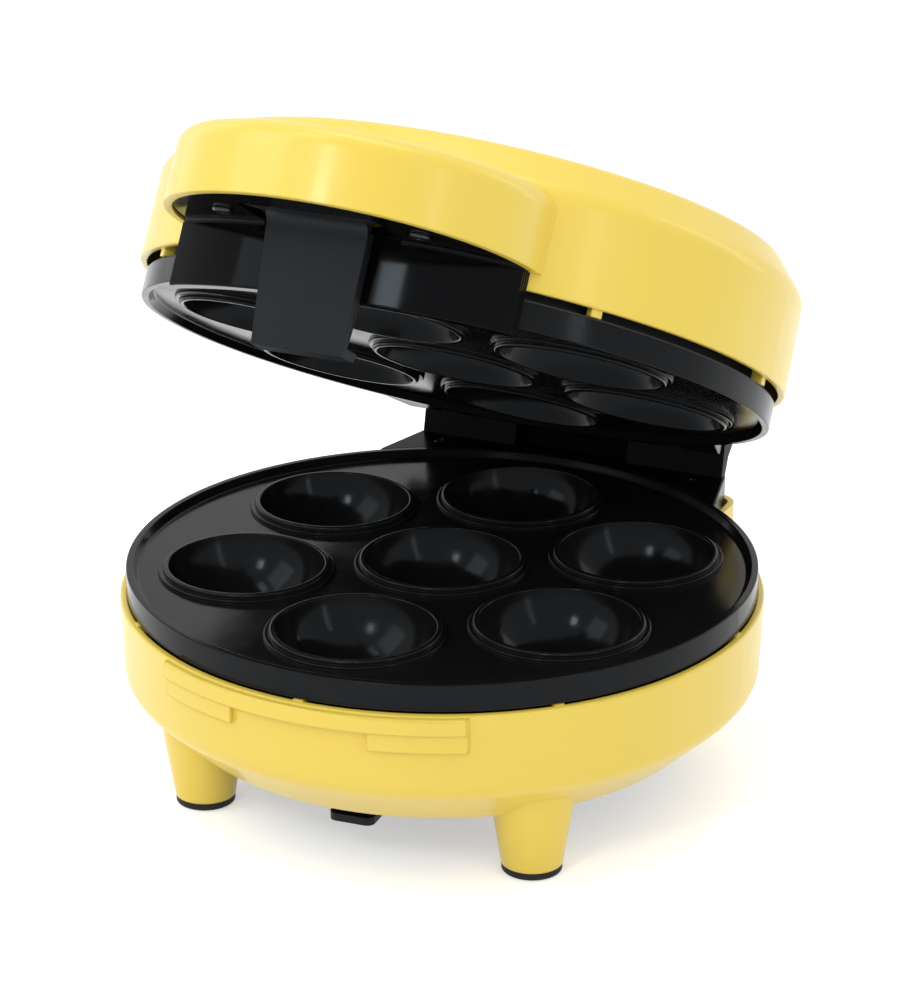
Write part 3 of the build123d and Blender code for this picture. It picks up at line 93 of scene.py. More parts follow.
@dataclass(frozen=True)
class Finish:
    """One finish: a colour, a gloss and a fine relief.

    Attributes:
        name: Name of the Blender material.
        colour: Linear base colour.
        roughness: Mean roughness.
        metallic: 0 for plastics and coatings, 1 for bare metal.
        coat: Weight of a clear coat.
        coat_roughness: Roughness of the clear coat.
        specular: Specular level of the base.
        relief: Kind of fine relief.
        relief_size: Size of one grain, in metres.
        relief_depth: Bump distance, in metres.
        mottle: How far the base colour drifts, as a share.
        drift: How far the roughness drifts, either way.
        edge: Radius that edges look rounded with, in metres.
        tint: Colour of the straight reflection.
    """

    name: str
    colour: Colour
    roughness: float
    metallic: float = 0.0
    coat: float = 0.0
    coat_roughness: float = 0.1
    specular: float = 0.5
    relief: Surface = Surface.SMOOTH
    relief_size: float = 0.001
    relief_depth: float = 0.00002
    mottle: float = 0.04
    drift: float = 0.04
    edge: float = 0.0004
    tint: Colour = (1.0, 1.0, 1.0)

    def build(self) -> bpy.types.Material:
        """Make the material.

        Returns:
            A node-based material that reads Object coordinates.
        """
        material = bpy.data.materials.new(self.name)
        material.use_nodes = True
        tree = material.node_tree
        shader = tree.nodes["Principled BSDF"]
        shader.inputs["Metallic"].default_value = self.metallic
        shader.inputs["Specular IOR Level"].default_value = self.specular
        shader.inputs["Specular Tint"].default_value = (*self.tint, 1.0)
        shader.inputs["Coat Weight"].default_value = self.coat
        shader.inputs["Coat Roughness"].default_value = self.coat_roughness
        place = tree.nodes.new("ShaderNodeTexCoord")
        self._colour(tree, shader, place)
        self._gloss(tree, shader, place)
        self._relief(tree, shader, place)
        return material

    def _noise(self, tree: bpy.types.NodeTree, place: bpy.types.Node, size: float,
               detail: float) -> bpy.types.Node:
        """Add a noise texture.

        Args:
            tree: The material's nodes.
            place: Texture coordinates.
            size: Size of a grain, in metres.
            detail: Finer layers laid over it.

        Returns:
            The noise node.
        """
        noise = tree.nodes.new("ShaderNodeTexNoise")
        noise.inputs["Scale"].default_value = 1.0 / size
        noise.inputs["Detail"].default_value = detail
        tree.links.new(place.outputs["Object"], noise.inputs["Vector"])
        return noise

    def _colour(self, tree: bpy.types.NodeTree, shader: bpy.types.Node, place: bpy.types.Node) -> None:
        """Let the base colour drift gently across the piece.

        Args:
            tree: The material's nodes.
            shader: The Principled node.
            place: Texture coordinates.
        """
        noise = self._noise(tree, place, COLOUR_PATCH, 3.0)
        ramp = tree.nodes.new("ShaderNodeValToRGB")
        ends = ((NOISE_LOW, 1.0 - self.mottle), (NOISE_HIGH, 1.0 + self.mottle))
        for element, (position, share) in zip(ramp.color_ramp.elements, ends):
            element.position = position
            element.color = (*[min(1.0, part * share) for part in self.colour], 1.0)
        tree.links.new(noise.outputs["Fac"], ramp.inputs["Fac"])
        tree.links.new(ramp.outputs["Color"], shader.inputs["Base Color"])

    def _gloss(self, tree: bpy.types.NodeTree, shader: bpy.types.Node, place: bpy.types.Node) -> None:
        """Let the roughness drift, as handled surfaces do.

        Args:
            tree: The material's nodes.
            shader: The Principled node.
            place: Texture coordinates.
        """
        noise = self._noise(tree, place, GLOSS_PATCH, 5.0)
        stretch = tree.nodes.new("ShaderNodeMapRange")
        stretch.inputs["From Min"].default_value = NOISE_LOW
        stretch.inputs["From Max"].default_value = NOISE_HIGH
        stretch.inputs["To Min"].default_value = max(0.02, self.roughness - self.drift)
        stretch.inputs["To Max"].default_value = min(1.0, self.roughness + self.drift)
        tree.links.new(noise.outputs["Fac"], stretch.inputs["Value"])
        tree.links.new(stretch.outputs["Result"], shader.inputs["Roughness"])

    def _relief(self, tree: bpy.types.NodeTree, shader: bpy.types.Node, place: bpy.types.Node) -> None:
        """Soften the edges and lay the fine relief on the normal.

        Args:
            tree: The material's nodes.
            shader: The Principled node.
            place: Texture coordinates.
        """
        edge = tree.nodes.new("ShaderNodeBevel")
        edge.samples = 4
        edge.inputs["Radius"].default_value = self.edge
        if self.relief is Surface.SMOOTH:
            tree.links.new(edge.outputs["Normal"], shader.inputs["Normal"])
            return
        noise = self._noise(tree, place, self.relief_size, self.relief.value)
        bump = tree.nodes.new("ShaderNodeBump")
        bump.inputs["Distance"].default_value = self.relief_depth
        bump.inputs["Strength"].default_value = 1.0
        tree.links.new(edge.outputs["Normal"], bump.inputs["Normal"])
        tree.links.new(noise.outputs["Fac"], bump.inputs["Height"])
        tree.links.new(bump.outputs["Normal"], shader.inputs["Normal"])


# Tint of the straight reflections on the black pieces, a little blue.
COOL: Colour = (0.84, 0.93, 1.0)

FINISHES = {
    "yellow_shell": Finish("YellowShell", (0.87, 0.64, 0.085), 0.33, specular=0.47, coat=0.22,
                           coat_roughness=0.12, relief=Surface.ORANGE_PEEL, relief_size=0.0012,
                           relief_depth=0.00001, mottle=0.012, drift=0.03, edge=0.001),
    "black_moulding": Finish("BlackMoulding", (0.010, 0.0104, 0.0115), 0.42, specular=0.17,
                             relief=Surface.SPARK, relief_size=0.0006, relief_depth=0.000015, mottle=0.2,
                             tint=COOL),
    # Painted shade: the black moulding made darker and almost without reflection, standing in for the shade
    # that falls on the hinge blocks under the open lid.
    "hinge_painted_shade": Finish("HingeMouldingPaintedShade", (0.003, 0.003, 0.0032), 0.22, specular=0.04,
                             relief=Surface.SPARK, relief_size=0.0005, relief_depth=0.000006, mottle=0.2),
    "black_insert": Finish("BlackInsert", (0.003, 0.0028, 0.003), 0.09, specular=0.07, drift=0.02,
                           mottle=0.1, tint=COOL),
    "coated_plate": Finish("CoatedPlate", (0.0072, 0.0070, 0.0073), 0.15, specular=0.12,
                           relief=Surface.CAST, relief_size=0.0016, relief_depth=0.00002,
                           mottle=0.15, drift=0.05, tint=COOL),
    "bright_sheet": Finish("BrightSheet", (0.58, 0.58, 0.60), 0.3, metallic=1.0),
    "dull_sheet": Finish("DullSheet", (0.045, 0.045, 0.048), 0.5, metallic=1.0),
    "heater_tube": Finish("HeaterTube", (0.16, 0.15, 0.14), 0.45, metallic=1.0, mottle=0.3),
    "ceramic": Finish("Ceramic", (0.78, 0.75, 0.68), 0.6, relief=Surface.SPARK),
    "steel_pin": Finish("SteelPin", (0.48, 0.48, 0.49), 0.25, metallic=1.0),
    "black_screw": Finish("BlackScrew", (0.04, 0.04, 0.043), 0.2, metallic=0.9, edge=0.0002),
    "spring_wire": Finish("SpringWire", (0.45, 0.45, 0.46), 0.25, metallic=1.0),
    "rubber_pad": Finish("RubberPad", (0.008, 0.008, 0.008), 0.65, specular=0.3, relief=Surface.SPARK,
                         relief_size=0.0009, relief_depth=0.00004),
    "terminal": Finish("Terminal", (0.72, 0.70, 0.65), 0.5),
    "lens_red": Finish("LensRed", (0.42, 0.02, 0.01), 0.1, coat=0.6, coat_roughness=0.03),
    "lens_green": Finish("LensGreen", (0.03, 0.30, 0.05), 0.1, coat=0.6, coat_roughness=0.03),
    "lamp": Finish("Lamp", (0.70, 0.66, 0.58), 0.4),
}

# Nodes that wear another finish than their slot's own. The hinge blocks wear a darker copy of the black
# moulding, which is painted shade of the hinge between lid and base.
FINISH_OF_NODE = {
    "hinge_block_lower": "hinge_painted_shade", "hinge_block_upper": "hinge_painted_shade",
    "lower_reflector": "dull_sheet", "upper_reflector": "dull_sheet",
}


class FinishShelf:
    """Builds each finish once and hands it out."""

    def __init__(self) -> None:
        """Start with no material made."""
        self._made: dict[str, bpy.types.Material] = {}

    def get(self, slot: str) -> bpy.types.Material:
        """Hand out a finish, made on first use.

        Args:
            slot: Name of the finish.

        Returns:
            Its material.
        """
        if slot not in self._made:
            self._made[slot] = FINISHES[slot].build()
        return self._made[slot]


def deselect() -> None:
    """Leave nothing selected and no active object."""
    bpy.ops.object.select_all(action="DESELECT")
    bpy.context.view_layer.objects.active = None


def activate(piece: bpy.types.Object) -> None:
    """Make one object the only selected and active one.

    Args:
        piece: That object.
    """
    deselect()
    piece.select_set(True)
    bpy.context.view_layer.objects.active = piece


def wear(piece: bpy.types.Object, material: bpy.types.Material) -> None:
    """Give a piece a single material."""
    piece.data.materials.clear()
    piece.data.materials.append(material)


def span(node: bpy.types.Object, turn: Matrix) -> tuple[Vector, Vector]:
    """Measure a node in a turned frame, such as the lid's own with the lid shut.

    Args:
        node: CAD node to measure.
        turn: Turn that takes that frame to where the model stands.

    Returns:
        The node's lowest and highest corner in that frame.
    """
    back = turn.inverted()
    points = [back @ vertex.co for vertex in node.data.vertices]
    low = Vector(min(point[k] for point in points) for k in range(3))
    high = Vector(max(point[k] for point in points) for k in range(3))
    return low, high


def arc(centre: tuple[float, float], radius: float, start: float, end: float, steps: int) -> Outline:
    """Work out an arc of an outline.

    Args:
        centre: Centre of the arc.
        radius: Its radius.
        start: Angle of its first point, in degrees.
        end: Angle of its last point.
        steps: Stretches between its points.

    Returns:
        The points, both ends included.
    """
    angles = [math.radians(start + (end - start) * k / steps) for k in range(steps + 1)]
    return [(centre[0] + radius * math.cos(a), centre[1] + radius * math.sin(a)) for a in angles]


@dataclass
class Turned:
    """Round piece spun from the closed outline of its half section.

    Attributes:
        name: Name of the piece.
        outline: Points (radius, height) round the half section, in millimetres.
        steps: Faces round the piece.
    """

    name: str
    outline: Outline
    steps: int = 40

    def build(self) -> bpy.types.Object:
        """Spin the outline about Z and close it.

        Returns:
            The piece, standing on its own axis at the origin.
        """
        deselect()
        bpy.ops.mesh.primitive_circle_add(vertices=len(self.outline), radius=MM)
        piece = bpy.context.active_object
        piece.name = self.name
        for vertex, (radius, height) in zip(piece.data.vertices, self.outline):
            vertex.co = (radius * MM, 0.0, height * MM)
        bpy.ops.object.mode_set(mode="EDIT")
        bpy.ops.mesh.select_all(action="SELECT")
        bpy.ops.mesh.spin(steps=self.steps, angle=math.tau, center=(0, 0, 0), axis=(0, 0, 1))
        bpy.ops.mesh.select_all(action="SELECT")
        bpy.ops.mesh.remove_doubles(threshold=MERGE)
        bpy.ops.mesh.dissolve_degenerate(threshold=MERGE)
        bpy.ops.mesh.normals_make_consistent(inside=False)
        bpy.ops.object.mode_set(mode="OBJECT")
        bpy.ops.object.shade_smooth_by_angle(angle=SMOOTH_ANGLE)
        return piece


def cut(piece: bpy.types.Object, tool: bpy.types.Object) -> None:
    """Cut one piece out of another and throw the tool away.

    Args:
        piece: The piece that is cut.
        tool: What is cut out of it.
    """
    activate(piece)
    boolean = piece.modifiers.new("cut", "BOOLEAN")
    boolean.operation = "DIFFERENCE"
    boolean.solver = "EXACT"
    boolean.object = tool
    bpy.ops.object.modifier_apply(modifier="cut")
    bpy.data.objects.remove(tool, do_unlink=True)
    bpy.ops.object.shade_smooth_by_angle(angle=SMOOTH_ANGLE)


@dataclass
class Workshop:
    """What every sub-assembly needs: the frame, the finishes and the lid's turn.

    Attributes:
        shelf: The finishes.
        opening: Degrees that the lid stands open in the model.
    """

    frame: dict
    shelf: FinishShelf
    opening: float = 30.0

    def lid_turn(self) -> Matrix:
        """Work out the turn that takes the shut lid to where the model has it.

        Returns:
            A turn about the hinge pin.
        """
        hinge = next(joint for joint in self.frame["joints"] if joint["name"] == "lid_hinge")
        pivot = Matrix.Translation(Vector(hinge["pos_m"]))
        return pivot @ Matrix.Rotation(math.radians(-self.opening), 4, "X") @ pivot.inverted()

    def turn_of(self, node: str) -> Matrix:
        """Turn of the body that a node belongs to."""
        body = self.frame["nodes"][node]["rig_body"]
        return Matrix.Identity(4) if body == "base" else self.lid_turn()

    def span_of(self, node: str) -> tuple[Vector, Vector]:
        """Corners of a node in its own body's unturned frame."""
        return span(self.frame["nodes"][node], self.turn_of(node))

    def slot_of(self, node: str) -> str:
        """Material slot of a node."""
        return next(part["material_slot"] for part in self.frame["record"]["subparts"]
                    if part["node"] == node)

    def set_in_place(self, piece: bpy.types.Object, node: str, place: Matrix, name: str) -> None:
        """Put a modelled piece where a node has it, dress it and let it ride.

        Args:
            piece: The modelled piece, built at the origin.
            node: CAD node that it stands for.
            place: Its place in the unturned frame of the node's body.
            name: Name of the piece.
        """
        piece.name = name
        piece.data.transform(self.turn_of(node) @ place)
        piece.data.update()
        wear(piece, self.shelf.get(self.slot_of(node)))
        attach(piece, self.frame["nodes"][node]["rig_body"])
        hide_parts(node)
        LOG.info("%s stands for %s, %d faces", name, node, len(piece.data.polygons))


@dataclass
class Screws:
    """Pan-head screws with a cross recess and a rolled thread.

    Attributes:
        head_r: Radius of the head, in millimetres.
        head_h: Height of the head.
        shank_r: Radius over the thread.
        core_r: Radius of the core.
        pitch: Pitch of the thread.
        tip: Chamfer of the tip.
        plain: Least length without a thread under the head.
        dome_r: Rounding of the head, less on a low head.
        flat_r: Radius of the flat that is left on top.
        slot_w: Width of the recess's arms.
        slot_d: Depth of the recess.
        back: How far the head's top stands back from the end of the node's box.
    """

    head_r: float = 3.8
    head_h: float = 2.2
    shank_r: float = 2.0
    core_r: float = 1.6
    pitch: float = 1.0
    tip: float = 0.6
    plain: float = 1.0
    dome_r: float = 1.5
    flat_r: float = 1.63
    slot_w: float = 0.8
    slot_d: float = 0.9
    back: float = 0.0

    def model(self, length: float) -> bpy.types.Object:
        """Model one screw with its seat at the origin and its head up.

        Args:
            length: Length of the shank under the head, in millimetres.

        Returns:
            The screw.
        """
        seat_edge, point_share = 0.15, 0.7
        crest_share, root_share = 0.45, 0.9
        outline = [(0.0, -length), (self.core_r * point_share, -length), (self.core_r, -length + self.tip)]
        for k in range(int((length - self.tip - self.plain) / self.pitch)):
            foot = -length + self.tip + k * self.pitch
            outline += [(self.shank_r, foot + self.pitch * crest_share),
                        (self.core_r, foot + self.pitch * root_share)]
        outline += [(self.core_r, 0.0), (self.head_r - seat_edge, 0.0), (self.head_r, seat_edge)]
        dome_r = min(self.dome_r, self.head_h - 2 * seat_edge)
        outline += arc((self.head_r - dome_r, self.head_h - dome_r), dome_r, 8, 80, 6)
        outline += [(self.flat_r, self.head_h), (0.0, self.head_h)]
        screw = Turned("screw", outline, steps=32).build()
        for turn in (0.0, 90.0):
            cut(screw, self._arm(turn))
        return screw

    def _arm(self, turn: float) -> bpy.types.Object:
        """Model one arm of the cross recess, narrower at its foot.

        Args:
            turn: Its turn about the screw's axis, in degrees.

        Returns:
            The cutting tool.
        """
        reach, depth, taper = self.head_r * 1.05 * MM, self.slot_d * MM, 0.62
        deselect()
        bpy.ops.mesh.primitive_cube_add(size=1, location=(0, 0, self.head_h * MM))
        arm = bpy.context.active_object
        arm.scale = (reach, self.slot_w * MM, 2 * depth)
        arm.rotation_euler = (0, 0, math.radians(turn))
        bpy.ops.object.transform_apply(location=True, rotation=True, scale=True)
        foot = self.head_h * MM - depth
        for vertex in arm.data.vertices:
            if vertex.co.z < foot + MERGE:
                vertex.co.x *= taper
                vertex.co.y *= taper
        return arm

    def fit(self, shop: Workshop, node: str, facing: Facing) -> None:
        """Model the screws of a node and set them where it has them.

        Args:
            shop: The frame and the finishes.
            node: CAD node of the screws, two in a row or four on a ring.
            facing: Way that their heads face.
        """
        low, high = shop.span_of(node)
        head = (self.head_h + self.back) * MM
        length = (high.z - low.z - head) / MM
        seat = high.z - head if facing is Facing.UP else low.z + head
        reach, middle = high.x - self.head_r * MM, (low.y + high.y) / 2
        spots = [(-reach, middle), (reach, middle)]
        if high.y - low.y > 4 * self.head_r * MM:
            spots += [(0.0, -reach), (0.0, reach)]
        first = self.model(length)
        for number, (x, y) in enumerate(spots, 1):
            copy = bpy.data.objects.new(f"{node}_{number}", first.data.copy())
            bpy.context.scene.collection.objects.link(copy)
            turned = Matrix.Rotation(math.radians(17 * number), 4, "Z")
            over = Matrix.Rotation(math.pi * facing.value, 4, "X")
            place = Matrix.Translation((x, y, seat)) @ turned @ over
            shop.set_in_place(copy, node, place, f"{node}_{number}")
        bpy.data.objects.remove(first, do_unlink=True)


@dataclass
class FootPads:
    """Rubber pads with a rounded rim, ring treads and a plug stem.

    Attributes:
        radius: Radius of the pad, in millimetres.
        height: Height of the pad below the leg.
        stem_r: Radius of the stem.
        rim: Rounding at the table.
        rings: Rings inside the outer one.
        ring_r: Radius where the first ring starts.
        ring_w: Width that a ring stands on.
        ring_pitch: From one ring to the next.
        outer_r: Radius where the outer ring starts.
        tread_d: Depth of the grooves between the rings.
        flank: Width of a groove's sloping side.
    """

    radius: float = 11.0
    height: float = 3.0
    stem_r: float = 3.0
    rim: float = 0.9
    rings: int = 2
    ring_r: float = 2.4
    ring_w: float = 1.3
    ring_pitch: float = 3.2
    outer_r: float = 8.4
    tread_d: float = 0.6
    flank: float = 0.3

    def tread(self) -> Outline:
        """Draw the underside from the middle to the rounded rim.

        Returns:
            The points of the rings and grooves.
        """
        points = [(0.0, self.tread_d)]
        for ring in range(self.rings):
            start = self.ring_r + ring * self.ring_pitch
            stop = start + 2 * self.flank + self.ring_w
            points += [(start, self.tread_d), (start + self.flank, 0.0)]
            points += [(stop - self.flank, 0.0), (stop, self.tread_d)]
        return points + [(self.outer_r, self.tread_d), (self.outer_r + self.flank, 0.0)]

    def model(self, top: float) -> bpy.types.Object:
        """Model one pad standing on the origin.

        Args:
            top: Height of the stem's end, in millimetres.

        Returns:
            The pad.
        """
        ease, tip = 0.15, 0.6
        rim = arc((self.radius - self.rim, self.rim), self.rim, -90, 0, 5)
        over = [(self.radius, self.height - ease), (self.radius - ease, self.height)]
        stem = [(self.stem_r, self.height), (self.stem_r, top - tip), (self.stem_r - tip, top), (0.0, top)]
        return Turned("pad", self.tread() + rim + over + stem, steps=56).build()

    def fit(self, shop: Workshop) -> None:
        """Set a pad under each leg.

        Args:
            shop: The frame and the finishes.
        """
        first = None
        for corner in ("front_left", "front_right", "rear_left", "rear_right"):
            node = f"foot_{corner}"
            low, high = shop.span_of(node)
            first = first or self.model(high.z / MM)
            copy = bpy.data.objects.new(node, first.data.copy())
            bpy.context.scene.collection.objects.link(copy)
            place = Matrix.Translation(((low.x + high.x) / 2, (low.y + high.y) / 2, 0.0))
            shop.set_in_place(copy, node, place, f"pad_{corner}")
        bpy.data.objects.remove(first, do_unlink=True)


@dataclass
class LampLenses:
    """Domed lenses of the two pilot lamps, ringed so that they spread the light.

    Attributes:
        radius: Radius of the lens, in millimetres.
        lip_r: Radius of the lip that holds it from inside.
        lip_t: Thickness of that lip.
        dome_h: Height of the dome.
        rings: Rings on the dome.
        groove_d: Depth of the grooves between the rings.
    """

    radius: float = 4.5
    lip_r: float = 6.0
    lip_t: float = 1.5
    dome_h: float = 1.3
    rings: int = 3
    groove_d: float = 0.12

    def dome(self, height: float) -> Outline:
        """Draw the ringed dome from its rim to its middle.

        Args:
            height: Height of the dome's middle, in millimetres.

        Returns:
            The points of the rings and grooves.
        """
        ball_r = (self.radius ** 2 + self.dome_h ** 2) / (2 * self.dome_h)
        pitch, ease = self.radius / (self.rings + 0.6), 0.15
        points = []
        for ring in range(self.rings):
            outer = self.radius - ring * pitch - ease
            for share, dip in ((0.0, 0.0), (0.72, 0.0), (0.86, self.groove_d), (1.0, self.groove_d)):
                r = outer - share * pitch
                points.append((r, height - ball_r + math.sqrt(ball_r ** 2 - r ** 2) - dip))
        return points

    def model(self, height: float) -> bpy.types.Object:
        """Model one lens with its lip on the origin.

        Args:
            height: Whole height, in millimetres.

        Returns:
            The lens.
        """
        foot = [(0.0, 0.0), (self.lip_r - 0.3, 0.0), (self.lip_r, 0.3), (self.lip_r, self.lip_t - 0.2),
                (self.lip_r - 0.2, self.lip_t), (self.radius, self.lip_t)]
        side = [(self.radius, height - self.dome_h - 0.1)]
        middle = [(0.0, height - 0.02)]
        return Turned("lens", foot + side + self.dome(height) + middle, steps=48).build()

    def fit(self, shop: Workshop) -> None:
        """Set both lenses in the lid.

        Args:
            shop: The frame and the finishes.
        """
        for node in ("lamp_lens_power", "lamp_lens_ready"):
            low, high = shop.span_of(node)
            lens = self.model((high.z - low.z) / MM)
            place = Matrix.Translation(((low.x + high.x) / 2, (low.y + high.y) / 2, low.z))
            shop.set_in_place(lens, node, place, f"{node}_dome")


@dataclass
class HingePin:
    """Steel pin with a domed rivet head at each end.

    Attributes:
        radius: Radius of the pin, in millimetres.
        head_t: Thickness of a head.
    """

    radius: float = 2.5
    head_t: float = 1.45

    def fit(self, shop: Workshop) -> None:
        """Model the pin along X and set it in the hinge.

        Args:
            shop: The frame and the finishes.
        """
        low, high = shop.span_of("hinge_pin")
        head_r, half = (high.z - low.z) / 2 / MM, high.x / MM
        seat = half - self.head_t
        dome = [(head_r, seat + 0.3), (head_r * 0.93, half - 0.45), (head_r * 0.7, half - 0.1), (0.0, half)]
        outline = [(0.0, -half)] + [(r, -h) for r, h in reversed(dome[:-1])]
        outline += [(head_r, -seat), (self.radius, -seat), (self.radius, seat), (head_r, seat)] + dome
        pin = Turned("pin", outline, steps=40).build()
        place = Matrix.Translation((low + high) / 2) @ Matrix.Rotation(math.radians(90), 4, "Y")
        shop.set_in_place(pin, "hinge_pin", place, "hinge_pin_riveted")


@dataclass
class Grommet:
    """Rubber grommet in the rear wall, grooved round its mouth.

    Attributes:
        bore_r: Radius of the bore, in millimetres.
        neck_r: Radius of the neck in the wall.
        lip: Thickness of the lips on both sides of the wall.
        grooves: Grooves between the bore and the outer rim.
        groove_d: Depth of a groove.
        groove_pitch: From one groove to the next.
    """

    bore_r: float = 3.5
    neck_r: float = 5.5
    lip: float = 1.5
    grooves: int = 2
    groove_d: float = 0.35
    groove_pitch: float = 1.7

    def fit(self, shop: Workshop) -> None:
        """Model the grommet along Y and set it in the wall.

        Args:
            shop: The frame and the finishes.
        """
        low, high = shop.span_of("cord_gland")
        outer, depth = (high.x - low.x) / 2 / MM, (high.y - low.y) / MM
        ease, inner_r = 0.3, self.neck_r + self.lip
        outline = [(self.bore_r + ease, 0.0)]
        for groove in range(self.grooves):
            r = self.bore_r + 1.0 + groove * self.groove_pitch
            outline += [(r, 0.0), (r + 0.2, self.groove_d), (r + 0.7, self.groove_d), (r + 0.9, 0.0)]
        outline += arc((outer - 0.6, 0.6), 0.6, -90, 0, 4)
        outline += arc((outer - 0.4, self.lip - 0.4), 0.4, 0, 90, 3)
        outline += [(self.neck_r, self.lip), (self.neck_r, depth - self.lip), (inner_r, depth - self.lip)]
        outline += [(inner_r - 0.4, depth), (self.bore_r, depth), (self.bore_r, ease)]
        ring = Turned("grommet", outline, steps=56).build()
        place = Matrix.Translation(((low.x + high.x) / 2, high.y, (low.z + high.z) / 2))
        place = place @ Matrix.Rotation(math.radians(90), 4, "X")
        shop.set_in_place(ring, "cord_gland", place, "cord_gland_ribbed")


@dataclass
class LowerShell:
    """Lower shell, its underside smooth where pillars and legs run into the slope.

    Attributes:
        ring_r: Radius of the pillars' ring, in millimetres.
        pillar_r: Radius of a pillar.
        floor_r: Radius of the flat floor, where the slope starts.
        floor_z: Height of that floor.
        foot_r: Radius at the slope's upper end.
        foot_z: Height of that end.
        leg_ring_r: Radius on which the legs stand.
        leg_r: Radius of a leg at its top.
        leg_top: Height of the legs' tops.
        near: How far a point may be off a face that it belongs to.
        above: How far above the slope a foot's point may lie.
        leg_edge: How far outside a leg's radius its rounded edge may lie.
        sink: How far a leg's top edge goes into the wall.
    """

    ring_r: float = 102.0
    pillar_r: float = 4.2
    floor_r: float = 100.0
    floor_z: float = 25.5
    foot_r: float = 119.0
    foot_z: float = 43.0
    leg_ring_r: float = 93.76
    leg_r: float = 15.5
    leg_top: float = 32.5
    near: float = 0.05
    above: float = 0.08
    leg_edge: float = 0.5
    sink: float = 0.4

    def slope_height(self, radius: float) -> float:
        """Height of the sloped underside at a radius, in millimetres."""
        rise = (self.foot_z - self.floor_z) / (self.foot_r - self.floor_r)
        return self.floor_z + (radius - self.floor_r) * rise

    def slope_normal(self, spot: Vector) -> Vector:
        """Work out which way the sloped underside faces.

        Args:
            spot: A point on the slope.

        Returns:
            The slope's outward direction there.
        """
        fall = math.atan2(self.foot_r - self.floor_r, self.foot_z - self.floor_z)
        out = Vector((spot.x, spot.y, 0.0)).normalized()
        return (out * math.cos(fall) - Vector((0, 0, math.sin(fall)))).normalized()

    def _pillar_foot(self, x: float, y: float, z: float) -> bool:
        """Tell whether a point belongs to a pillar's foot that hangs below the slope.

        Args:
            x: The point's place along X, in millimetres.
            y: Its place along Y.
            z: Its height.

        Returns:
            True where it does.
        """
        far, off = max(abs(x), abs(y)), min(abs(x), abs(y))
        radius = math.hypot(x, y)
        in_pillar = math.hypot(far - self.ring_r, off) < self.pillar_r + self.near
        return in_pillar and radius > self.floor_r and z < self.slope_height(radius) + self.above

    def _leg_rim(self, x: float, y: float, z: float) -> bool:
        """Tell whether a point lies on a leg's flat top where that stands out of the slope.

        Args:
            x: The point's place along X, in millimetres.
            y: Its place along Y.
            z: Its height.

        Returns:
            True where it does.
        """
        side = self.leg_ring_r / math.sqrt(2)
        in_leg = math.hypot(abs(x) - side, abs(y) - side) < self.leg_r + self.leg_edge
        on_top = abs(z - self.leg_top) < self.near
        return in_leg and on_top and self.slope_height(math.hypot(x, y)) > z + self.near

    def fit(self, shop: Workshop) -> None:
        """Copy the shell, draw the pillars' feet up to the slope and run the legs into it.

        Args:
            shop: The frame and the finishes.
        """
        node = "lower_housing"
        shell = bpy.data.objects.new("lower_shell", shop.frame["nodes"][node].data.copy())
        bpy.context.scene.collection.objects.link(shell)
        mesh = shell.data
        feet = set()
        for vertex in mesh.vertices:
            x, y, z = (c / MM for c in vertex.co)
            if self._pillar_foot(x, y, z):
                feet.add(vertex.index)
            elif self._leg_rim(x, y, z):
                vertex.co.z = (self.slope_height(math.hypot(x, y)) + self.sink) * MM
        normals = [corner.vector.copy() for corner in mesh.corner_normals]
        for face in mesh.polygons:
            if all(index in feet for index in face.vertices):
                for corner in face.loop_indices:
                    normals[corner] = self.slope_normal(mesh.vertices[mesh.loops[corner].vertex_index].co)
        for index in feet:
            spot = mesh.vertices[index].co
            spot.z = self.slope_height(math.hypot(spot.x, spot.y) / MM) * MM
        mesh.normals_split_custom_set([tuple(normal) for normal in normals])
        mesh.update()
        LOG.info("lower shell: %d points of the pillars' feet drawn up", len(feet))
        shop.set_in_place(shell, node, Matrix.Identity(4), "lower_shell")


@dataclass(frozen=True)
class SoftBox:
    """One soft rectangular lamp.

    Attributes:
        name: Name of the lamp.
        place: Where it hangs, in metres.
        size: Width and height of its face, in metres.
        power: Power in watts.
    """

    name: str
    place: Spot
    size: tuple[float, float]
    power: float

    def hang(self, target: Spot, tint: Colour) -> bpy.types.Object:
        """Hang the lamp.

        Args:
            target: Point that it faces.
            tint: Colour of its light.

        Returns:
            The lamp.
        """
        data = bpy.data.lights.new(self.name, "AREA")
        data.shape = "RECTANGLE"
        data.size, data.size_y = self.size
        data.energy = self.power
        data.color = tint
        lamp = bpy.data.objects.new(self.name, data)
        bpy.context.scene.collection.objects.link(lamp)
        lamp.location = self.place
        lamp.rotation_euler = (Vector(target) - Vector(self.place)).to_track_quat("-Z", "Y").to_euler()
        return lamp


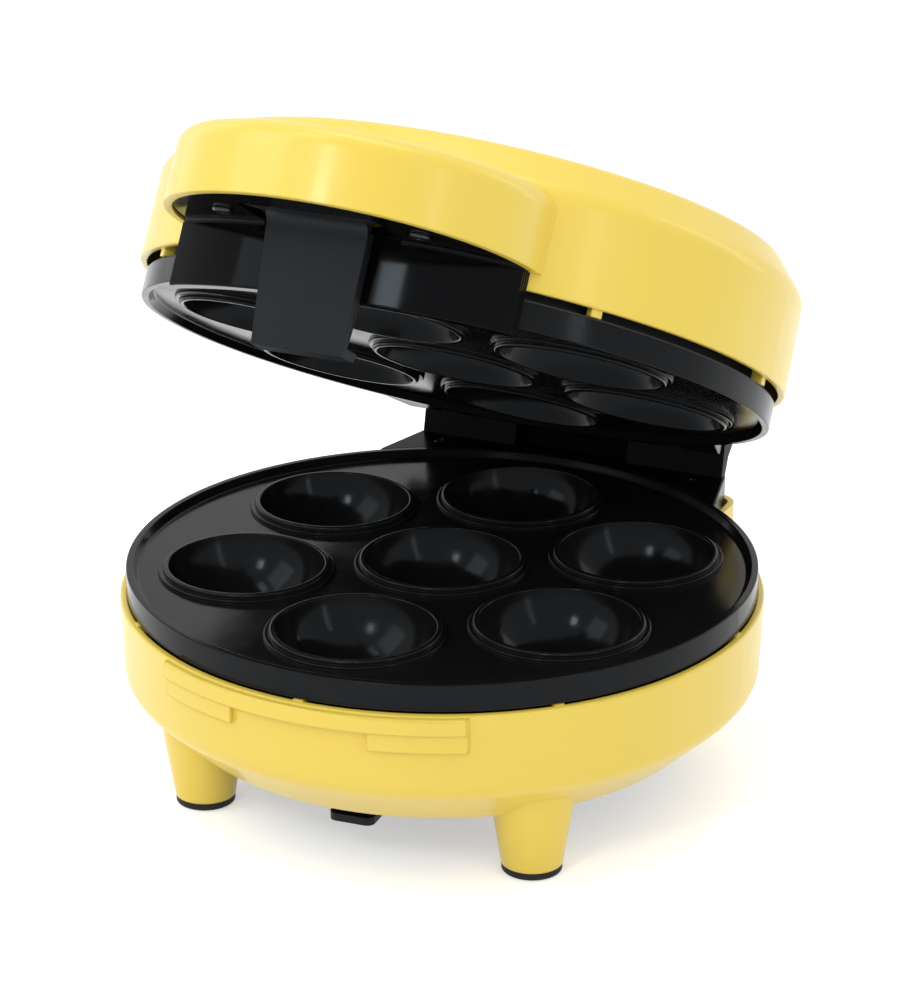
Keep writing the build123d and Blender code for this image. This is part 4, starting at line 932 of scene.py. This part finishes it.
@dataclass
class Studio:
    """Floor, world and lamps round the object.

    Attributes:
        floor_size: Side of the floor, in metres.
        floor_drop: How far it lies below the feet, so that the two never flicker.
        floor_lift: Glow that whitens the floor where it is seen, never on the object.
        ambient: Strength of the room's even light.
        tint: Colour of the lamps, a little cool.
        middle: Point that the lamps face.
        boxes: A key on the left, strips in front, beside and behind, and one above.
    """

    floor_size: float = 8.0
    floor_drop: float = 0.0002
    floor_lift: float = 0.46
    ambient: float = 0.72
    tint: Colour = (0.93, 0.97, 1.0)
    middle: Spot = (0.0, 0.0, 0.12)
    boxes: tuple[SoftBox, ...] = (
        SoftBox("key", (-0.82, -0.74, 0.98), (0.7, 0.8), 3.6),
        SoftBox("front_strip", (-0.03, -1.25, 1.06), (0.2, 0.3), 3.2),
        SoftBox("top_front", (-0.35, -0.45, 1.45), (0.4, 0.3), 1.4),
        SoftBox("side_strip", (1.32, -0.5, 0.62), (0.14, 0.9), 1.2),
        SoftBox("back_strip", (0.95, 0.95, 0.6), (0.3, 1.1), 1.7),
        SoftBox("left_wing", (-1.2, 0.35, 0.6), (0.4, 1.0), 0.9),
        SoftBox("above", (0.0, 0.3, 1.6), (0.9, 0.5), 4.0),
    )

    def _mix_seen(self, tree: bpy.types.NodeTree, plain: bpy.types.Node,
                  shown: bpy.types.Node) -> bpy.types.NodeSocket:
        """Show one shader, straight or in a reflection, and light the object with another.

        Args:
            tree: Nodes of the world or of a material.
            plain: Shader that lights the object.
            shown: Shader that is seen.

        Returns:
            Output of the two together.
        """
        rays = tree.nodes.new("ShaderNodeLightPath")
        seen = rays.outputs["Is Camera Ray"]
        for kind in ("Is Glossy Ray", "Is Transmission Ray"):
            either = tree.nodes.new("ShaderNodeMath")
            either.operation = "MAXIMUM"
            tree.links.new(seen, either.inputs[0])
            tree.links.new(rays.outputs[kind], either.inputs[1])
            seen = either.outputs[0]
        mix = tree.nodes.new("ShaderNodeMixShader")
        tree.links.new(seen, mix.inputs["Fac"])
        tree.links.new(plain.outputs[0], mix.inputs[1])
        tree.links.new(shown.outputs[0], mix.inputs[2])
        return mix.outputs[0]

    def floor(self) -> None:
        """Lay the white floor that the feet stand on."""
        deselect()
        bpy.ops.mesh.primitive_plane_add(size=self.floor_size, location=(0, 0, -self.floor_drop))
        plane = bpy.context.active_object
        plane.name = "studio_floor"
        material = bpy.data.materials.new("FloorWhite")
        material.use_nodes = True
        tree = material.node_tree
        shader = tree.nodes["Principled BSDF"]
        shader.inputs["Base Color"].default_value = (0.90, 0.90, 0.90, 1.0)
        shader.inputs["Roughness"].default_value = 0.9
        shader.inputs["Specular IOR Level"].default_value = 0.0
        glow = tree.nodes.new("ShaderNodeEmission")
        glow.inputs["Strength"].default_value = self.floor_lift
        both = tree.nodes.new("ShaderNodeAddShader")
        tree.links.new(shader.outputs[0], both.inputs[0])
        tree.links.new(glow.outputs[0], both.inputs[1])
        surface = tree.nodes["Material Output"].inputs["Surface"]
        tree.links.new(self._mix_seen(tree, shader, both), surface)
        wear(plane, material)

    def world(self) -> None:
        """White backdrop for what the camera and reflections see, softer for the rest."""
        world = bpy.data.worlds.new("Studio")
        world.use_nodes = True
        bpy.context.scene.world = world
        tree = world.node_tree
        tree.nodes.clear()
        out = tree.nodes.new("ShaderNodeOutputWorld")
        room, backdrop = (tree.nodes.new("ShaderNodeBackground") for _ in range(2))
        for node, strength in ((room, self.ambient), (backdrop, 1.0)):
            node.inputs["Color"].default_value = (1.0, 1.0, 1.0, 1.0)
            node.inputs["Strength"].default_value = strength
        tree.links.new(self._mix_seen(tree, room, backdrop), out.inputs["Surface"])

    def light(self) -> None:
        """Hang the lamps."""
        for box in self.boxes:
            box.hang(self.middle, self.tint)
            LOG.info("lamp %s, %.1f W", box.name, box.power)


@dataclass
class Camera:
    """Camera at the viewing angle, aimed at the centre of the lower plate.

    Attributes:
        azimuth: Degrees from -Y towards +X.
        elevation: Degrees above the horizon.
        distance: Metres from the aim point.
        aim: Point looked at, in metres.
        lens: Focal length for a 36 mm sensor.
        shift: Frame shift that puts the aim point off centre.
    """

    azimuth: float = 24.98
    elevation: float = 22.10
    distance: float = 1.2863
    aim: Spot = (0.0, 0.0, 0.0845)
    lens: float = 138.08
    shift: tuple[float, float] = (0.0087, 0.0624)

    def build(self) -> bpy.types.Object:
        """Make the camera and set it as the scene's own.

        Returns:
            The camera.
        """
        around, up = math.radians(self.azimuth), math.radians(self.elevation)
        back = Vector((math.sin(around) * math.cos(up), -math.cos(around) * math.cos(up), math.sin(up)))
        data = bpy.data.cameras.new("view")
        data.sensor_fit = "HORIZONTAL"
        data.sensor_width = 36.0
        data.lens = self.lens
        data.shift_x, data.shift_y = self.shift
        camera = bpy.data.objects.new("view", data)
        bpy.context.scene.collection.objects.link(camera)
        camera.location = Vector(self.aim) + back * self.distance
        camera.rotation_euler = (-back).to_track_quat("-Z", "Y").to_euler()
        bpy.context.scene.camera = camera
        return camera


def main() -> None:
    """Build the scene in order and report each piece."""
    logging.basicConfig(level=logging.INFO, format="%(name)s %(message)s")
    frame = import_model()
    deselect()
    Camera().build()
    shop = Workshop(frame, FinishShelf())
    for name, node in frame["nodes"].items():
        wear(node, shop.shelf.get(FINISH_OF_NODE.get(name, shop.slot_of(name))))
    LowerShell().fit(shop)
    Screws().fit(shop, "hinge_screws_lower", Facing.UP)
    Screws().fit(shop, "hinge_screws_upper", Facing.DOWN)
    Screws().fit(shop, "bottom_cover_screws", Facing.DOWN)
    Screws(head_h=1.3, slot_d=0.7, back=0.9).fit(shop, "insert_screws", Facing.DOWN)
    FootPads().fit(shop)
    LampLenses().fit(shop)
    HingePin().fit(shop)
    Grommet().fit(shop)
    studio = Studio()
    studio.floor()
    studio.world()
    studio.light()
    bpy.context.scene.view_settings.view_transform = "Standard"


if __name__ == "__main__":
    main()
